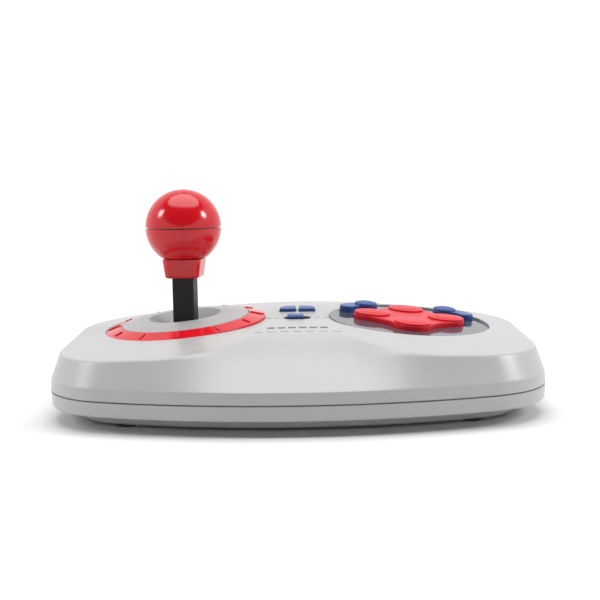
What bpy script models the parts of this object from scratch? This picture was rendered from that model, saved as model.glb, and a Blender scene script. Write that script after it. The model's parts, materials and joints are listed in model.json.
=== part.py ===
"""Arcade-style joystick controller: two shells, a ball-top stick on a gimbal, a rocking four-way
button pad, two shoulder buttons, two small centre buttons and a slide switch.

Sizes are in millimetres and become metres where a mesh is made. +X is to the player's right, +Y is
away from the player, +Z is up, and z = 0 is the table under the rubber feet."""

from math import asin, atan2, cos, hypot, pi, radians, sin, sqrt, tan

import bmesh
import bpy
from mathutils import Matrix, Vector

MM = 0.001
GAP = 0.3  # between pieces that rest on each other or nest
FAR = 12.0  # how far a cutter runs past what it cuts

# Plan of the case at the parting line
HALF_WIDTH = 124.3
FRONT_Y, BACK_Y = -79.0, 79.0
FRONT_ARC_R, FRONT_CORNER_R = 298.0, 43.6
BACK_ARC_R, BACK_CORNER_R = 500.0, 42.0

# Case heights and walls
WALL = 2.2
PART_Z, PART_GAP = 15.2, 0.6
BAND_TOP_Z, BAND_DRAFT = 21.4, 0.4  # the upright band under the sloping faces
LIP_TOP_Z, LIP_WALL = 17.4, 1.2
TRAY_Z, TRAY_ROUND = 7.7, 0.9  # underside of the overhang
PLINTH_INSET, PLINTH_Z, PLINTH_ROUND = 14.5, 1.2, 1.6
FLOOR = 2.8

# Deck and the faces that fall from it
DECK_Z = 40.8  # deck height at the centre of each round
ROUND_X, ROUND_Y = 60.2, 19.0  # centre of the stick's and the buttons' rounds
CROWN_R, OUTER_FALL = 674.6, 0.93  # sideways crown of the deck, and its steadier fall outside the rounds
DECK_SLOPE = tan(radians(2.73))  # rises away from the player
NOSE_FROM, NOSE_SPAN, NOSE_DROP = 30.0, 48.0, 1.0  # the deck's front edge bends down
SIDE_STEEP, BACK_STEEP, FRONT_STEEP = 2.75, 2.15, 1.9  # tangents of the faces' slopes
SCOOP_STEEP = (DECK_Z - BAND_TOP_Z) / 38.8  # the middle of the front reaches 38.8 mm back
SCOOP_HALF, SCOOP_END = 24.0, 80.0  # the front face is shallow inside, steep outside
SOFT_SCOOP, SOFT_EDGE, SOFT_SIDE, SOFT_BACK = 7.0, 1.2, 3.0, 2.3  # rounding where a face meets the deck
INNER_DROP = 1.2  # extra thickness under the shallow faces
SHOULDER = 20.0  # how far inside the deck's edge its skin is still divided

# Rounds
LEDGE_R, LEDGE_TOP, LEDGE_BOTTOM = 45.5, -1.9, -5.2
RING_R, RING_INNER_R, RING_RISE = 43.0, 34.5, 2.5
STICK_RECESS = 2.2
DISC_SEAT = 3.2
DISH_R, DISH_TOP, STICK_HOLE_R, DISH_FLOOR = 19.9, 4.4, 10.9, -0.8
MARK_PROUD = 0.45
PLATE_R, PLATE_TOP, PLATE_T = 43.1, -0.8, 1.5
PAD_HOLE_R = 30.9

# Stick
PIVOT_Z = 26.0
SHAFT_HALF, SHAFT_CHAMFER, SHAFT_TURN = 5.8, 1.1, radians(-7)
ROD_R, STUD_R = 3.0, 3.0
HUB_Z, ROD_END_Z = 22.9, 9.8
COLLAR_Z, COLLAR_TOP_Z = 65.7, 75.9
COLLAR_HALF, COLLAR_TOP_HALF, COLLAR_CHAMFER = 9.1, 10.6, 3.0
BALL_Z, BALL_R = 92.5, 20.25
GIMBAL_IN, GIMBAL_OUT, GIMBAL_HALF_H, GIMBAL_PIN_R = 9.0, 13.0, 3.2, 2.0
HOUSING_IN, HOUSING_WALL, HOUSING_Z, HOUSING_FLOOR, HOUSING_TOP_Z = 16.5, 2.5, 6.5, 2.0, 30.5
ACTUATOR_R, ACTUATOR_Z, ACTUATOR_H = 7.0, 11.6, 4.8
SWITCH_NEAR, SWITCH_DEEP, SWITCH_LONG, SWITCH_H = 10.2, 6.0, 14.0, 7.0
WASHER_R, WASHER_Z = 12.0, 32.6

# Buttons, in the plane of the right round
LOBE_AT, LOBE_R, NOTCH_R = 19.8, 10.0, 21.3
PAD_WEB, PAD_STEP, PAD_TOP, PAD_UNDER = 1.9, 2.7, 3.5, -2.2
PAD_PIVOT, PAD_PIN_R = -6.0, 1.3
BEAN_HEAD, BEAN_HEAD_R = (22.1, 23.5), 6.5
BEAN_ARM_R, BEAN_ARM_HALF, BEAN_END, BEAN_STEPS = 36.5, 4.2, radians(26), 6
BEAN_TOP, BEAN_BASE = 4.5, 2.6  # the round head, and the lower arm
BOARD_TOP, BOARD_T, MEMBRANE_T, DOME_TOP = -13.0, 1.6, 1.0, -10.2
STEM_END = -8.5
BUTTON_CLEAR = 0.45

# Centre controls, in the plane of the deck's middle
HALF_MOON = (0.9, 9.8, 13.6, 23.0)  # near side, far end, front, back
HALF_MOON_FRONT_R, HALF_MOON_BACK_R, HALF_MOON_TOP = 1.4, 6.2, 1.8
SLOT_HALF, SLOT_R, SLOT_Y = 7.4, 4.65, -4.65
KNOB_X, KNOB_HALF, KNOB_DEEP, KNOB_LOW, KNOB_TOP = -1.0, 4.5, 7.0, 0.35, 1.9
KNOB_LEFT, KNOB_RIGHT = 1.6, 3.5  # travel from where it stands

# Fasteners, feet and the cord's gland
CASE_SCREWS = [(-104, 36), (104, 36), (-98, -38), (98, -38), (0, -35)]
FEET = [(-80, 46), (80, 46), (-84, -44), (84, -44)]
BOSS_R, BOSS_SPLIT_Z, PILOT_TOP_Z = 3.9, 12.3, 25.0
SCREW_R, SCREW_HEAD_R, SCREW_HEAD = 1.4, 3.2, 2.6
FOOT_R, FOOT_DEEP = 6.0, 1.2
BOARD_SCREW_AT = 35.0
GLAND_X, GLAND_Z, GLAND_R, GLAND_BORE_R = 20.0, 27.0, 5.0, 3.2
SIDE_PAD_Y, SIDE_PAD_Z, SIDE_PAD_HALF = ROUND_Y - 2.0, 31.2, (8.0, 2.0)


# ---------------------------------------------------------------- helpers


def clear_scene():
    for item in list(bpy.data.objects):
        bpy.data.objects.remove(item, do_unlink=True)


def material(name, colour, roughness, metallic=0.0):
    made = bpy.data.materials.new(name)
    made.use_nodes = True
    shader = made.node_tree.nodes["Principled BSDF"]
    shader.inputs["Base Color"].default_value = (*colour, 1.0)
    shader.inputs["Roughness"].default_value = roughness
    shader.inputs["Metallic"].default_value = metallic
    made.diffuse_color = (*colour, 1.0)
    return made


def smoothstep(low, high, value):
    t = min(1.0, max(0.0, (value - low) / (high - low)))
    return t * t * (3 - 2 * t)


def build(name, points, faces, look, frame=None, pivot=(0, 0, 0)):
    """One object from points in millimetres in the frame, with its origin at the pivot."""
    pivot = Vector(pivot)
    mesh = bpy.data.meshes.new(name)
    mesh.from_pydata([(Vector(p) - pivot) * MM for p in points], [], faces)
    tidy = bmesh.new()
    tidy.from_mesh(mesh)
    bmesh.ops.triangulate(tidy, faces=[face for face in tidy.faces if len(face.verts) > 4])
    bmesh.ops.recalc_face_normals(tidy, faces=tidy.faces)
    tidy.to_mesh(mesh)
    tidy.free()
    mesh.materials.append(look)
    made = bpy.data.objects.new(name, mesh)
    bpy.context.scene.collection.objects.link(made)
    frame = frame or Matrix.Identity(4)
    made.matrix_world = frame @ Matrix.Translation(pivot * MM)
    return made


def loft(name, loops, look, frame=None, pivot=(0, 0, 0), closed=False, smooth=False):
    """Skins loops of equal length. A loop of one point is a tip; otherwise the ends are capped."""
    points, faces, starts = [], [], []
    for loop in loops:
        starts.append(len(points))
        points.extend(loop)
    count = max(len(loop) for loop in loops)
    pairs = list(zip(range(len(loops)), range(1, len(loops))))
    if closed:
        pairs.append((len(loops) - 1, 0))
    for a, b in pairs:
        for i in range(count):
            j = (i + 1) % count
            corners = [starts[a] + i, starts[a] + j, starts[b] + j, starts[b] + i]
            if len(loops[a]) == 1:
                corners = [starts[a], starts[b] + j, starts[b] + i]
            if len(loops[b]) == 1:
                corners = [starts[a] + i, starts[a] + j, starts[b]]
            faces.append(corners)
    if not closed:
        for end in (0, len(loops) - 1):
            if len(loops[end]) > 1:
                faces.append([starts[end] + i for i in range(count)])
    made = build(name, points, faces, look, frame, pivot)
    if smooth:
        made.data.shade_smooth()
    return made


def round_angles(radius, steps):
    """Angles round a circle. Where they start depends on the radius, so that no nested rounds share edges."""
    return [2 * pi * (i + radius / 7) / steps for i in range(steps)]


def revolve(name, profile, look, frame=None, pivot=(0, 0, 0), steps=40, closed=False, at=(0, 0)):
    """Turns a profile of (radius, height) about the frame's Z through `at`."""
    loops = []
    for r, h in profile:
        if r == 0:
            loops.append([(at[0], at[1], h)])
        else:
            turn = round_angles(max(r for r, _ in profile), steps)
            loops.append([(at[0] + r * cos(a), at[1] + r * sin(a), h) for a in turn])
    return loft(name, loops, look, frame, pivot, closed, smooth=True)


def prism(name, outline, low, high, look, frame=None, pivot=(0, 0, 0)):
    loops = [[(x, y, h) for x, y in outline] for h in (low, high)]
    return loft(name, loops, look, frame, pivot)


def box(name, low, high, look, frame=None, pivot=(0, 0, 0)):
    (x0, y0, z0), (x1, y1, z1) = low, high
    return prism(name, [(x0, y0), (x1, y0), (x1, y1), (x0, y1)], z0, z1, look, frame, pivot)


def rod(name, start, end, radius, look, frame=None, pivot=(0, 0, 0), steps=16):
    """A cylinder between two points."""
    start, end = Vector(start), Vector(end)
    along = (end - start).normalized()
    side = along.orthogonal().normalized()
    other = along.cross(side)
    turn = round_angles(radius, steps)
    loops = [[p + (side * cos(a) + other * sin(a)) * radius for a in turn] for p in (start, end)]
    return loft(name, loops, look, frame, pivot)


def boolean(target, other, operation):
    other.hide_render = True
    other.display_type = "WIRE"
    step = target.modifiers.new(other.name, "BOOLEAN")
    step.operation, step.solver, step.object = operation, "EXACT", other
    return target


def cut(target, *others):
    for other in others:
        boolean(target, other, "DIFFERENCE")
    return target


def join(target, *others):
    for other in others:
        boolean(target, other, "UNION")
    return target


def arc(cx, cy, r, start, end, count):
    """Points and normals along an arc, without its last one."""
    turn = [start + (end - start) * i / count for i in range(count)]
    return [(cx + r * cos(a), cy + r * sin(a), cos(a), sin(a)) for a in turn]


def frame_at(x, y, tilt_x, tilt_y):
    """A frame on the deck plane: origin on the deck, Z along its normal, X in the plane."""
    across = Vector((1, 0, tilt_x)).normalized()
    normal = Vector((-tilt_x, -tilt_y, 1)).normalized()
    away = normal.cross(across)
    turn = Matrix((across, away, normal)).transposed().to_4x4()
    return Matrix.Translation(Vector((x, y, deck_height(x, y))) * MM) @ turn


# ---------------------------------------------------------------- case


def case_outline():
    """The plan at the parting line, anticlockwise, as (x, y, normal x, normal y)."""
    corner_x = HALF_WIDTH - FRONT_CORNER_R
    reach = FRONT_ARC_R - FRONT_CORNER_R
    corner_y = FRONT_Y + FRONT_ARC_R - sqrt(reach**2 - corner_x**2)
    front = asin(corner_x / reach)
    back_x = HALF_WIDTH - BACK_CORNER_R
    back_reach = BACK_ARC_R - BACK_CORNER_R
    back_y = BACK_Y - BACK_ARC_R + sqrt(back_reach**2 - back_x**2)
    back = asin(back_x / back_reach)
    side = [(HALF_WIDTH, corner_y + (back_y - corner_y) * i / 3, 1.0, 0.0) for i in range(3)]
    mirrored = [(-HALF_WIDTH, y, -1.0, 0.0) for _, y, _, _ in side]
    other_side = [(-HALF_WIDTH, back_y, -1.0, 0.0)] + mirrored[:0:-1]
    quarter = pi / 2
    return (
        arc(0, FRONT_Y + FRONT_ARC_R, FRONT_ARC_R, -quarter - front, -quarter + front, 20)
        + arc(corner_x, corner_y, FRONT_CORNER_R, -quarter + front, 0, 7)
        + side
        + arc(back_x, back_y, BACK_CORNER_R, 0, quarter - back, 6)
        + arc(0, BACK_Y - BACK_ARC_R, BACK_ARC_R, quarter - back, quarter + back, 10)
        + arc(-back_x, back_y, BACK_CORNER_R, quarter + back, pi, 6)
        + other_side
        + arc(-corner_x, corner_y, FRONT_CORNER_R, pi, pi + quarter - front, 7)
    )


def deck_height(x, y):
    ahead = y - ROUND_Y
    nose = NOSE_DROP * (max(0.0, -ahead - NOSE_FROM) / NOSE_SPAN) ** 2
    out = abs(x) - ROUND_X
    fall = (x**2 - ROUND_X**2) / (2 * CROWN_R) if out < 0 else out * ROUND_X / CROWN_R * OUTER_FALL
    return DECK_Z - fall + ahead * DECK_SLOPE - nose


def face_character(x, y, ny):
    """The steepness of the face under an outline point, and how softly it meets the deck."""
    steep = SIDE_STEEP + (BACK_STEEP - SIDE_STEEP) * smoothstep(0.0, 1.0, ny)
    soft = SOFT_EDGE
    if ny < 0:
        outward = smoothstep(SCOOP_HALF, SCOOP_END, abs(x))
        steep = SCOOP_STEEP + (FRONT_STEEP - SCOOP_STEEP) * outward
        steep += (SIDE_STEEP - FRONT_STEEP) * smoothstep(-0.7, 0.0, ny)
        soft += (SOFT_SCOOP - SOFT_EDGE) * (1 - smoothstep(SCOOP_HALF, SCOOP_END, abs(x) * 1.3))
    soft += (SOFT_SIDE - SOFT_EDGE) * smoothstep(-26, 14, y) * (1 - smoothstep(0.0, 0.7, ny))
    soft += (SOFT_BACK - SOFT_EDGE) * smoothstep(0.0, 0.7, ny)
    return steep, soft


def soft_min(a, b, soft):
    blend = min(1.0, max(0.0, 0.5 + 0.5 * (b - a) / soft))
    return b + (a - b) * blend - soft * blend * (1 - blend)


def top_surface(inset, drop, face_drop, rim_z, stages, spread):
    """Loops from the middle of the deck out to the rim, for the outer or the inner skin."""
    slanted, flat = [], []
    for x, y, nx, ny in case_outline():
        steep, soft = face_character(x, y, ny)

        def at(depth):
            px, py = x - nx * (inset + depth), y - ny * (inset + depth)
            face = BAND_TOP_Z - face_drop + steep * (depth - BAND_DRAFT)
            deck = deck_height(px, py) - drop
            return px, py, face, deck

        near, far = BAND_DRAFT, 60.0
        for _ in range(30):
            middle = (near + far) / 2
            _, _, face, deck = at(middle)
            near, far = (middle, far) if face < deck else (near, middle)
        slanted.append([])
        for stage in stages:
            up_face, along_deck = min(stage, 1.0), max(stage - 1.0, 0.0)
            px, py, face, deck = at(BAND_DRAFT + (near - BAND_DRAFT) * up_face + SHOULDER * along_deck)
            z = face if stage == 0 else soft_min(face, deck, soft)
            slanted[-1].append((px, py, z))
        flat.append((slanted[-1][-1][0], slanted[-1][-1][1]))
    middle_y = (FRONT_Y + BACK_Y) / 2
    middle = (0, middle_y, deck_height(0, middle_y) - drop)
    loops = [[middle]]
    for share in spread:
        ring = [(px * share, middle_y + (py - middle_y) * share) for px, py in flat]
        loops.append([(px, py, deck_height(px, py) - drop) for px, py in ring])
    for stage in reversed(range(len(stages))):
        loops.append([column[stage] for column in slanted])
    loops.append([(x - nx * inset, y - ny * inset, rim_z) for x, y, nx, ny in case_outline()])
    return loops


def make_top_shell(look, hidden, left, right, centre):
    rim = PART_Z + PART_GAP / 2
    outer = top_surface(0, 0, 0, rim, (0, 0.6, 0.95, 1.3, 2.0), (0.5,))
    inner = top_surface(WALL, WALL, INNER_DROP, rim, (0, 1.0, 2.0), (0.5,))
    shell = loft("top_shell", outer + inner[::-1], look)
    ledge = [(0, LEDGE_BOTTOM), (LEDGE_R, LEDGE_BOTTOM), (LEDGE_R, LEDGE_TOP), (0, LEDGE_TOP)]
    for side, frame in (("left", left), ("right", right)):
        join(shell, revolve(f"ledge_{side}", ledge, hidden, frame, steps=36))
    for i, (x, y) in enumerate(CASE_SCREWS):
        top = deck_height(x, y) - WALL / 2
        if i == len(CASE_SCREWS) - 1:
            top -= SOFT_SCOOP / 4
        join(shell, rod(f"screw_boss_{i}", (x, y, BOSS_SPLIT_Z + GAP), (x, y, top), BOSS_R, hidden))
    for name, frame, places in (("button", right, board_posts()), ("centre", centre, centre_posts())):
        for i, (x, y) in enumerate(places):
            low, high = (x, y, BOARD_TOP + GAP), (x, y, -WALL + 0.8)
            join(shell, rod(f"{name}_board_post_{i}", low, high, 3.0, hidden, frame))
    cut_round(shell, "stick_recess", RING_R + GAP, -STICK_RECESS, hidden, left)
    cut_round(shell, "stick_opening", RING_INNER_R - DISC_SEAT - GAP, LEDGE_BOTTOM - FAR, hidden, left)
    cut_round(shell, "button_recess", PLATE_R + GAP, PLATE_TOP - PLATE_T - GAP, hidden, right)
    cut_round(shell, "pad_opening", PAD_HOLE_R, LEDGE_BOTTOM - 1, hidden, right)
    for side in (-1, 1):
        hole = bean(f"shell_bean_hole_{side}", side, BUTTON_CLEAR, LEDGE_BOTTOM - 1, FAR, hidden, right)
        cut(shell, hole)
        moon = half_moon(side, BUTTON_CLEAR)
        cut(shell, prism(f"moon_hole_{side}", moon, -6, 6, hidden, centre))
        cut(shell, side_pad(f"side_pocket_{side}", side, GAP, -1.3, 4, hidden))
    cut(shell, prism("slot_hole", stadium(SLOT_HALF, SLOT_R), -6, 6, hidden, centre))
    for i, (x, y) in enumerate(CASE_SCREWS):
        pilot = SCREW_R + GAP
        cut(shell, rod(f"pilot_{i}", (x, y, BOSS_SPLIT_Z - 2), (x, y, PILOT_TOP_Z), pilot, hidden))
    for name, frame, places in (("button", right, board_posts()), ("centre", centre, centre_posts())):
        for i, (x, y) in enumerate(places):
            low, high = (x, y, BOARD_TOP - 2), (x, y, BOARD_TOP + 6.5)
            cut(shell, rod(f"{name}_post_pilot_{i}", low, high, 1.6, hidden, frame))
    bore = rod("gland_hole", (GLAND_X, 60, GLAND_Z), (GLAND_X, 90, GLAND_Z), GLAND_R + GAP, hidden)
    return cut(shell, bore)


def cut_round(target, name, radius, low, hidden, frame):
    profile = [(0, low), (radius, low), (radius, FAR), (0, FAR)]
    return cut(target, revolve(name, profile, hidden, frame, steps=40))


def make_bottom_shell(look, hidden):
    def ring(inset, z):
        return [(x - nx * inset, y - ny * inset, z) for x, y, nx, ny in case_outline()]

    rim = PART_Z - PART_GAP / 2
    foot = PLINTH_INSET + 0.6
    lip = WALL + GAP
    loops = [
        [(0, 0, PLINTH_Z)],
        ring(foot + PLINTH_ROUND, PLINTH_Z),
        ring(foot + PLINTH_ROUND * 0.3, PLINTH_Z + PLINTH_ROUND * 0.3),
        ring(foot, PLINTH_Z + PLINTH_ROUND),
        ring(PLINTH_INSET, TRAY_Z),
        ring(TRAY_ROUND + 0.4, TRAY_Z),
        ring(0.8, TRAY_Z + TRAY_ROUND * 0.55),
        ring(0.4, TRAY_Z + TRAY_ROUND * 1.4),
        ring(0, rim),
        ring(lip, rim),
        ring(lip, LIP_TOP_Z),
        ring(lip + LIP_WALL, LIP_TOP_Z),
        ring(lip + LIP_WALL, TRAY_Z + WALL),
        ring(PLINTH_INSET + WALL, TRAY_Z + WALL),
        ring(foot + PLINTH_ROUND + 1, PLINTH_Z + FLOOR),
        [(0, 0, PLINTH_Z + FLOOR)],
    ]
    shell = loft("bottom_shell", loops, look)
    floor = PLINTH_Z + FLOOR
    for i, (x, y) in enumerate(CASE_SCREWS):
        join(shell, rod(f"floor_boss_{i}", (x, y, floor - 1), (x, y, BOSS_SPLIT_Z), BOSS_R + 0.9, hidden))
    for i, (x, y) in enumerate(housing_screws()):
        top = HOUSING_Z - GAP
        join(shell, rod(f"housing_boss_{i}", (x, y, floor - 1), (x, y, top), 3.4, hidden))
    for i, (x, y) in enumerate(CASE_SCREWS):
        bore, head = SCREW_R + GAP, SCREW_HEAD_R + GAP
        cut(shell, rod(f"counterbore_{i}", (x, y, -2), (x, y, head_seat()), head, hidden))
        cut(shell, rod(f"clearance_{i}", (x, y, 0), (x, y, BOSS_SPLIT_Z + 2), bore, hidden))
    for i, (x, y) in enumerate(FEET):
        top = PLINTH_Z + FOOT_DEEP
        cut(shell, rod(f"foot_recess_{i}", (x, y, -2), (x, y, top), FOOT_R + GAP, hidden, steps=32))
    for i, (x, y) in enumerate(housing_screws()):
        cut(shell, rod(f"housing_pilot_{i}", (x, y, 2.6), (x, y, HOUSING_Z + 1), 1.6, hidden))
    return shell


def head_seat():
    """Where a case screw's head stops."""
    return PLINTH_Z + FLOOR + 2.0


def make_fasteners_and_feet(steel, rubber):
    for i, (x, y) in enumerate(CASE_SCREWS):
        seat = head_seat() - GAP
        profile = [(0, seat - SCREW_HEAD), (SCREW_HEAD_R, seat - SCREW_HEAD), (SCREW_HEAD_R, seat)]
        profile += [(SCREW_R, seat), (SCREW_R, PILOT_TOP_Z - 1.5), (0, PILOT_TOP_Z - 0.6)]
        revolve(f"case_screw_{i + 1}", profile, steel, steps=16, at=(x, y))
    for i, (x, y) in enumerate(FEET):
        top = PLINTH_Z + FOOT_DEEP - GAP
        profile = [(0, 0), (FOOT_R - 0.5, 0), (FOOT_R, 0.5), (FOOT_R, top), (0, top)]
        revolve(f"rubber_foot_{i + 1}", profile, rubber, steps=24, at=(x, y))


def side_pad(name, side, grow, low, high, look):
    """A rounded bar lying in the side face, from `low` to `high` across the face."""
    slant = Vector((side * sin(atan2(SIDE_STEEP, 1)), 0, cos(atan2(SIDE_STEEP, 1))))
    along = Vector((0, side, 0))
    up = slant.cross(along)
    x = side * (HALF_WIDTH - BAND_DRAFT - (SIDE_PAD_Z - BAND_TOP_Z) / SIDE_STEEP)
    turn = Matrix((along, up, slant)).transposed().to_4x4()
    frame = Matrix.Translation(Vector((x, SIDE_PAD_Y, SIDE_PAD_Z)) * MM) @ turn
    half, radius = SIDE_PAD_HALF
    return prism(name, stadium(half + grow, radius + grow, 0), low, high, look, frame)


def make_gland(look):
    flange, body = GLAND_R + 1.8, GLAND_R
    profile = [(GLAND_BORE_R, 0), (flange, 0), (flange, 2.0), (body, 2.0), (body, 14.0)]
    profile += [(GLAND_BORE_R, 14.0)]
    turn = Matrix.Rotation(-pi / 2, 4, "X")
    frame = Matrix.Translation(Vector((GLAND_X, 64.5, GLAND_Z)) * MM) @ turn
    return revolve("cable_gland", profile, look, frame, steps=28, closed=True)


# ---------------------------------------------------------------- stick


def chamfered_square(half, chamfer, turn=0.0):
    """A square with cut corners, anticlockwise."""
    inner = half - chamfer
    quarter = [(half, -inner), (half, inner)]
    points = []
    for i in range(4):
        a = turn + i * pi / 2
        points += [(x * cos(a) - y * sin(a), x * sin(a) + y * cos(a)) for x, y in quarter]
    return points


def make_ring(look, hidden, left):
    seat = GAP - STICK_RECESS
    profile = [(RING_INNER_R, RING_RISE), (RING_R, 0), (RING_R, seat), (RING_INNER_R, seat)]
    ring = revolve("stick_ring", profile, look, left, steps=48, closed=True)
    middle = (RING_R + RING_INNER_R) / 2
    slant = atan2(RING_RISE, RING_R - RING_INNER_R)
    marks = bmesh.new()
    for i in range(12):
        length, width = (7.4, 1.3) if i % 3 == 0 else (4.6, 1.1)
        turn = Matrix.Rotation(i * pi / 6, 4, "Z")
        lift = Matrix.Translation((middle, 0, RING_RISE / 2 + MARK_PROUD - 0.6))
        size = Matrix.Diagonal((length, width, 1.2, 1))
        bmesh.ops.create_cube(marks, size=1, matrix=turn @ lift @ Matrix.Rotation(slant, 4, "Y") @ size)
    points = [v.co[:] for v in marks.verts]
    faces = [[v.index for v in f.verts] for f in marks.faces]
    marks.free()
    return join(ring, build("ring_marks", points, faces, hidden, left))


def make_disc(look, left):
    edge, seat = RING_INNER_R - GAP, GAP - STICK_RECESS
    collar = RING_INNER_R - DISC_SEAT - 2 * GAP
    profile = [
        (STICK_HOLE_R, DISH_FLOOR), (STICK_HOLE_R + 1.5, DISH_FLOOR + 0.2), (DISH_R - 3, DISH_TOP - 2.4),
        (DISH_R - 0.8, DISH_TOP - 0.2), (DISH_R + 0.3, DISH_TOP), ((DISH_R + edge) / 2, DISH_TOP - 0.75),
        (edge, RING_RISE), (edge, seat), (collar, seat), (collar, LEDGE_BOTTOM + 0.2),
        (collar - 2, LEDGE_BOTTOM + 0.2), (collar - 2, 0.6), (DISH_R + 0.3, DISH_TOP - 2.2),
        (DISH_R - 1.4, DISH_TOP - 4.4), (STICK_HOLE_R + 2, DISH_FLOOR - 1.8), (STICK_HOLE_R, DISH_FLOOR - 2),
    ]
    return revolve("stick_disc", profile, look, left, steps=40, closed=True)


def stick_frame(height=0.0):
    return Matrix.Translation(Vector((-ROUND_X, ROUND_Y, height)) * MM)


def make_stick(black, red, steel, spring_steel, hidden):
    """The pieces that tilt together. Their frame stands on the table under the pivot."""
    frame, pivot = stick_frame(), (0, 0, PIVOT_Z)
    shaft = prism("stick_shaft", chamfered_square(SHAFT_HALF, SHAFT_CHAMFER, SHAFT_TURN),
                  HUB_Z, COLLAR_TOP_Z - 0.4, black, frame, pivot)
    groove_z = ACTUATOR_Z - 1.4
    stem = [(0, ROD_END_Z), (ROD_R, ROD_END_Z), (ROD_R, groove_z), (ROD_R - 0.8, groove_z)]
    stem += [(ROD_R - 0.8, groove_z + 1.1), (ROD_R, groove_z + 1.1), (ROD_R, HUB_Z + 1), (0, HUB_Z + 1)]
    join(shaft, revolve("shaft_stem", stem, hidden, frame, steps=20))
    stud = [(0, COLLAR_TOP_Z - 2), (STUD_R, COLLAR_TOP_Z - 2), (STUD_R, BALL_Z + 7), (0, BALL_Z + 8)]
    join(shaft, revolve("shaft_stud", stud, hidden, frame, steps=20))
    reach = SHAFT_HALF + FAR
    cut(shaft, rod("pin_bore", (0, -reach, PIVOT_Z), (0, reach, PIVOT_Z), GIMBAL_PIN_R + GAP, hidden, frame))
    pin = GIMBAL_OUT - 0.6
    rod("stick_cross_pin", (0, -pin, PIVOT_Z), (0, pin, PIVOT_Z), GIMBAL_PIN_R, steel, frame, pivot)

    bottom = chamfered_square(COLLAR_HALF, COLLAR_CHAMFER, SHAFT_TURN)
    top = chamfered_square(COLLAR_TOP_HALF, COLLAR_CHAMFER + 0.8, SHAFT_TURN)
    levels = [[(x, y, COLLAR_Z) for x, y in bottom], [(x, y, COLLAR_TOP_Z) for x, y in top]]
    collar = loft("stick_collar", levels, red, frame, pivot)
    hole = chamfered_square(SHAFT_HALF + GAP, SHAFT_CHAMFER, SHAFT_TURN)
    cut(collar, prism("collar_hole", hole, COLLAR_Z - 2, COLLAR_TOP_Z + 2, hidden, frame))

    def sphere(low, high, count):
        angles = [low + (high - low) * i / count for i in range(count + 1)]
        return [(BALL_R * cos(a), BALL_Z + BALL_R * sin(a)) for a in angles]

    bore, seam = STUD_R + GAP, asin(GAP / 2 / BALL_R)
    base = asin((COLLAR_TOP_Z + GAP - BALL_Z) / BALL_R)
    lower = sphere(base, -seam, 5)
    lower += [(bore, BALL_Z - GAP / 2), (bore, COLLAR_TOP_Z + GAP)]
    revolve("ball_lower", lower, red, frame, pivot, steps=28, closed=True)
    upper = [(0, BALL_Z + 9), (bore, BALL_Z + 9), (bore, BALL_Z + GAP / 2)]
    upper += sphere(seam, pi / 2, 7)[:-1] + [(0, BALL_Z + BALL_R)]
    revolve("ball_upper", upper, red, frame, pivot, steps=28)

    actuator = [(ROD_R + GAP, ACTUATOR_Z), (ACTUATOR_R, ACTUATOR_Z), (ACTUATOR_R, ACTUATOR_Z + 3)]
    actuator += [(ROD_R + 1.6, ACTUATOR_Z + ACTUATOR_H), (ROD_R + GAP, ACTUATOR_Z + ACTUATOR_H)]
    revolve("stick_actuator", actuator, black, frame, pivot, steps=28, closed=True)
    clip = [(ROD_R - 0.5, groove_z + 0.2), (ROD_R + 2, groove_z + 0.2)]
    clip += [(ROD_R + 2, groove_z + 0.9), (ROD_R - 0.5, groove_z + 0.9)]
    revolve("retaining_clip", clip, steel, frame, pivot, steps=24, closed=True)
    washer = [(x, y) for x, y, _, _ in arc(0, 0, WASHER_R, 0, 2 * pi, 36)]
    plate = prism("dust_washer", washer, WASHER_Z, WASHER_Z + 1, black, frame, pivot)
    cut(plate, prism("washer_hole", hole, WASHER_Z - 2, WASHER_Z + 3, hidden, frame))
    make_spring(spring_steel, frame, pivot)


def make_spring(look, frame, pivot):
    wire, mean, turns, steps = 0.5, 4.3, 4, 12
    low, high = ACTUATOR_Z + ACTUATOR_H + GAP + wire, HUB_Z - GAP - wire
    loops = []
    for i in range(turns * steps + 1):
        a = 2 * pi * i / steps
        z = low + (high - low) * i / (turns * steps)
        out = Vector((cos(a), sin(a), 0))
        spots = [2 * pi * k / 6 for k in range(6)]
        loops.append([out * (mean + wire * cos(b)) + Vector((0, 0, z + wire * sin(b))) for b in spots])
    return loft("centring_spring", loops, look, frame, pivot)


def make_gimbal(name, inner, outer, half_height, pin_r, pin_end, look, hidden, frame, height):
    """A square ring with stub pins along X and bores along Y for the pin of what it carries."""
    square = [(outer, -outer), (outer, outer), (-outer, outer), (-outer, -outer)]
    pivot = (0, 0, height)
    low, high = height - half_height, height + half_height
    ring = prism(name, square, low, high, look, frame, pivot)
    hole = [(x * inner / outer, y * inner / outer) for x, y in square]
    cut(ring, prism(f"{name}_hole", hole, low - 2, high + 2, hidden, frame))
    for side in (-1, 1):
        start, end = (side * (inner + 1), 0, height), (side * pin_end, 0, height)
        join(ring, rod(f"{name}_pin_{side}", start, end, pin_r, hidden, frame, steps=20))
    reach = outer + 3
    bore = rod(f"{name}_bore", (0, -reach, height), (0, reach, height), pin_r + GAP, hidden, frame)
    return cut(ring, bore)


def housing_screws():
    at = HOUSING_IN + HOUSING_WALL + 4
    return [(-ROUND_X + sx * at, ROUND_Y + sy * at) for sx, sy in ((-1, -1), (1, -1), (1, 1), (-1, 1))]


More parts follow.
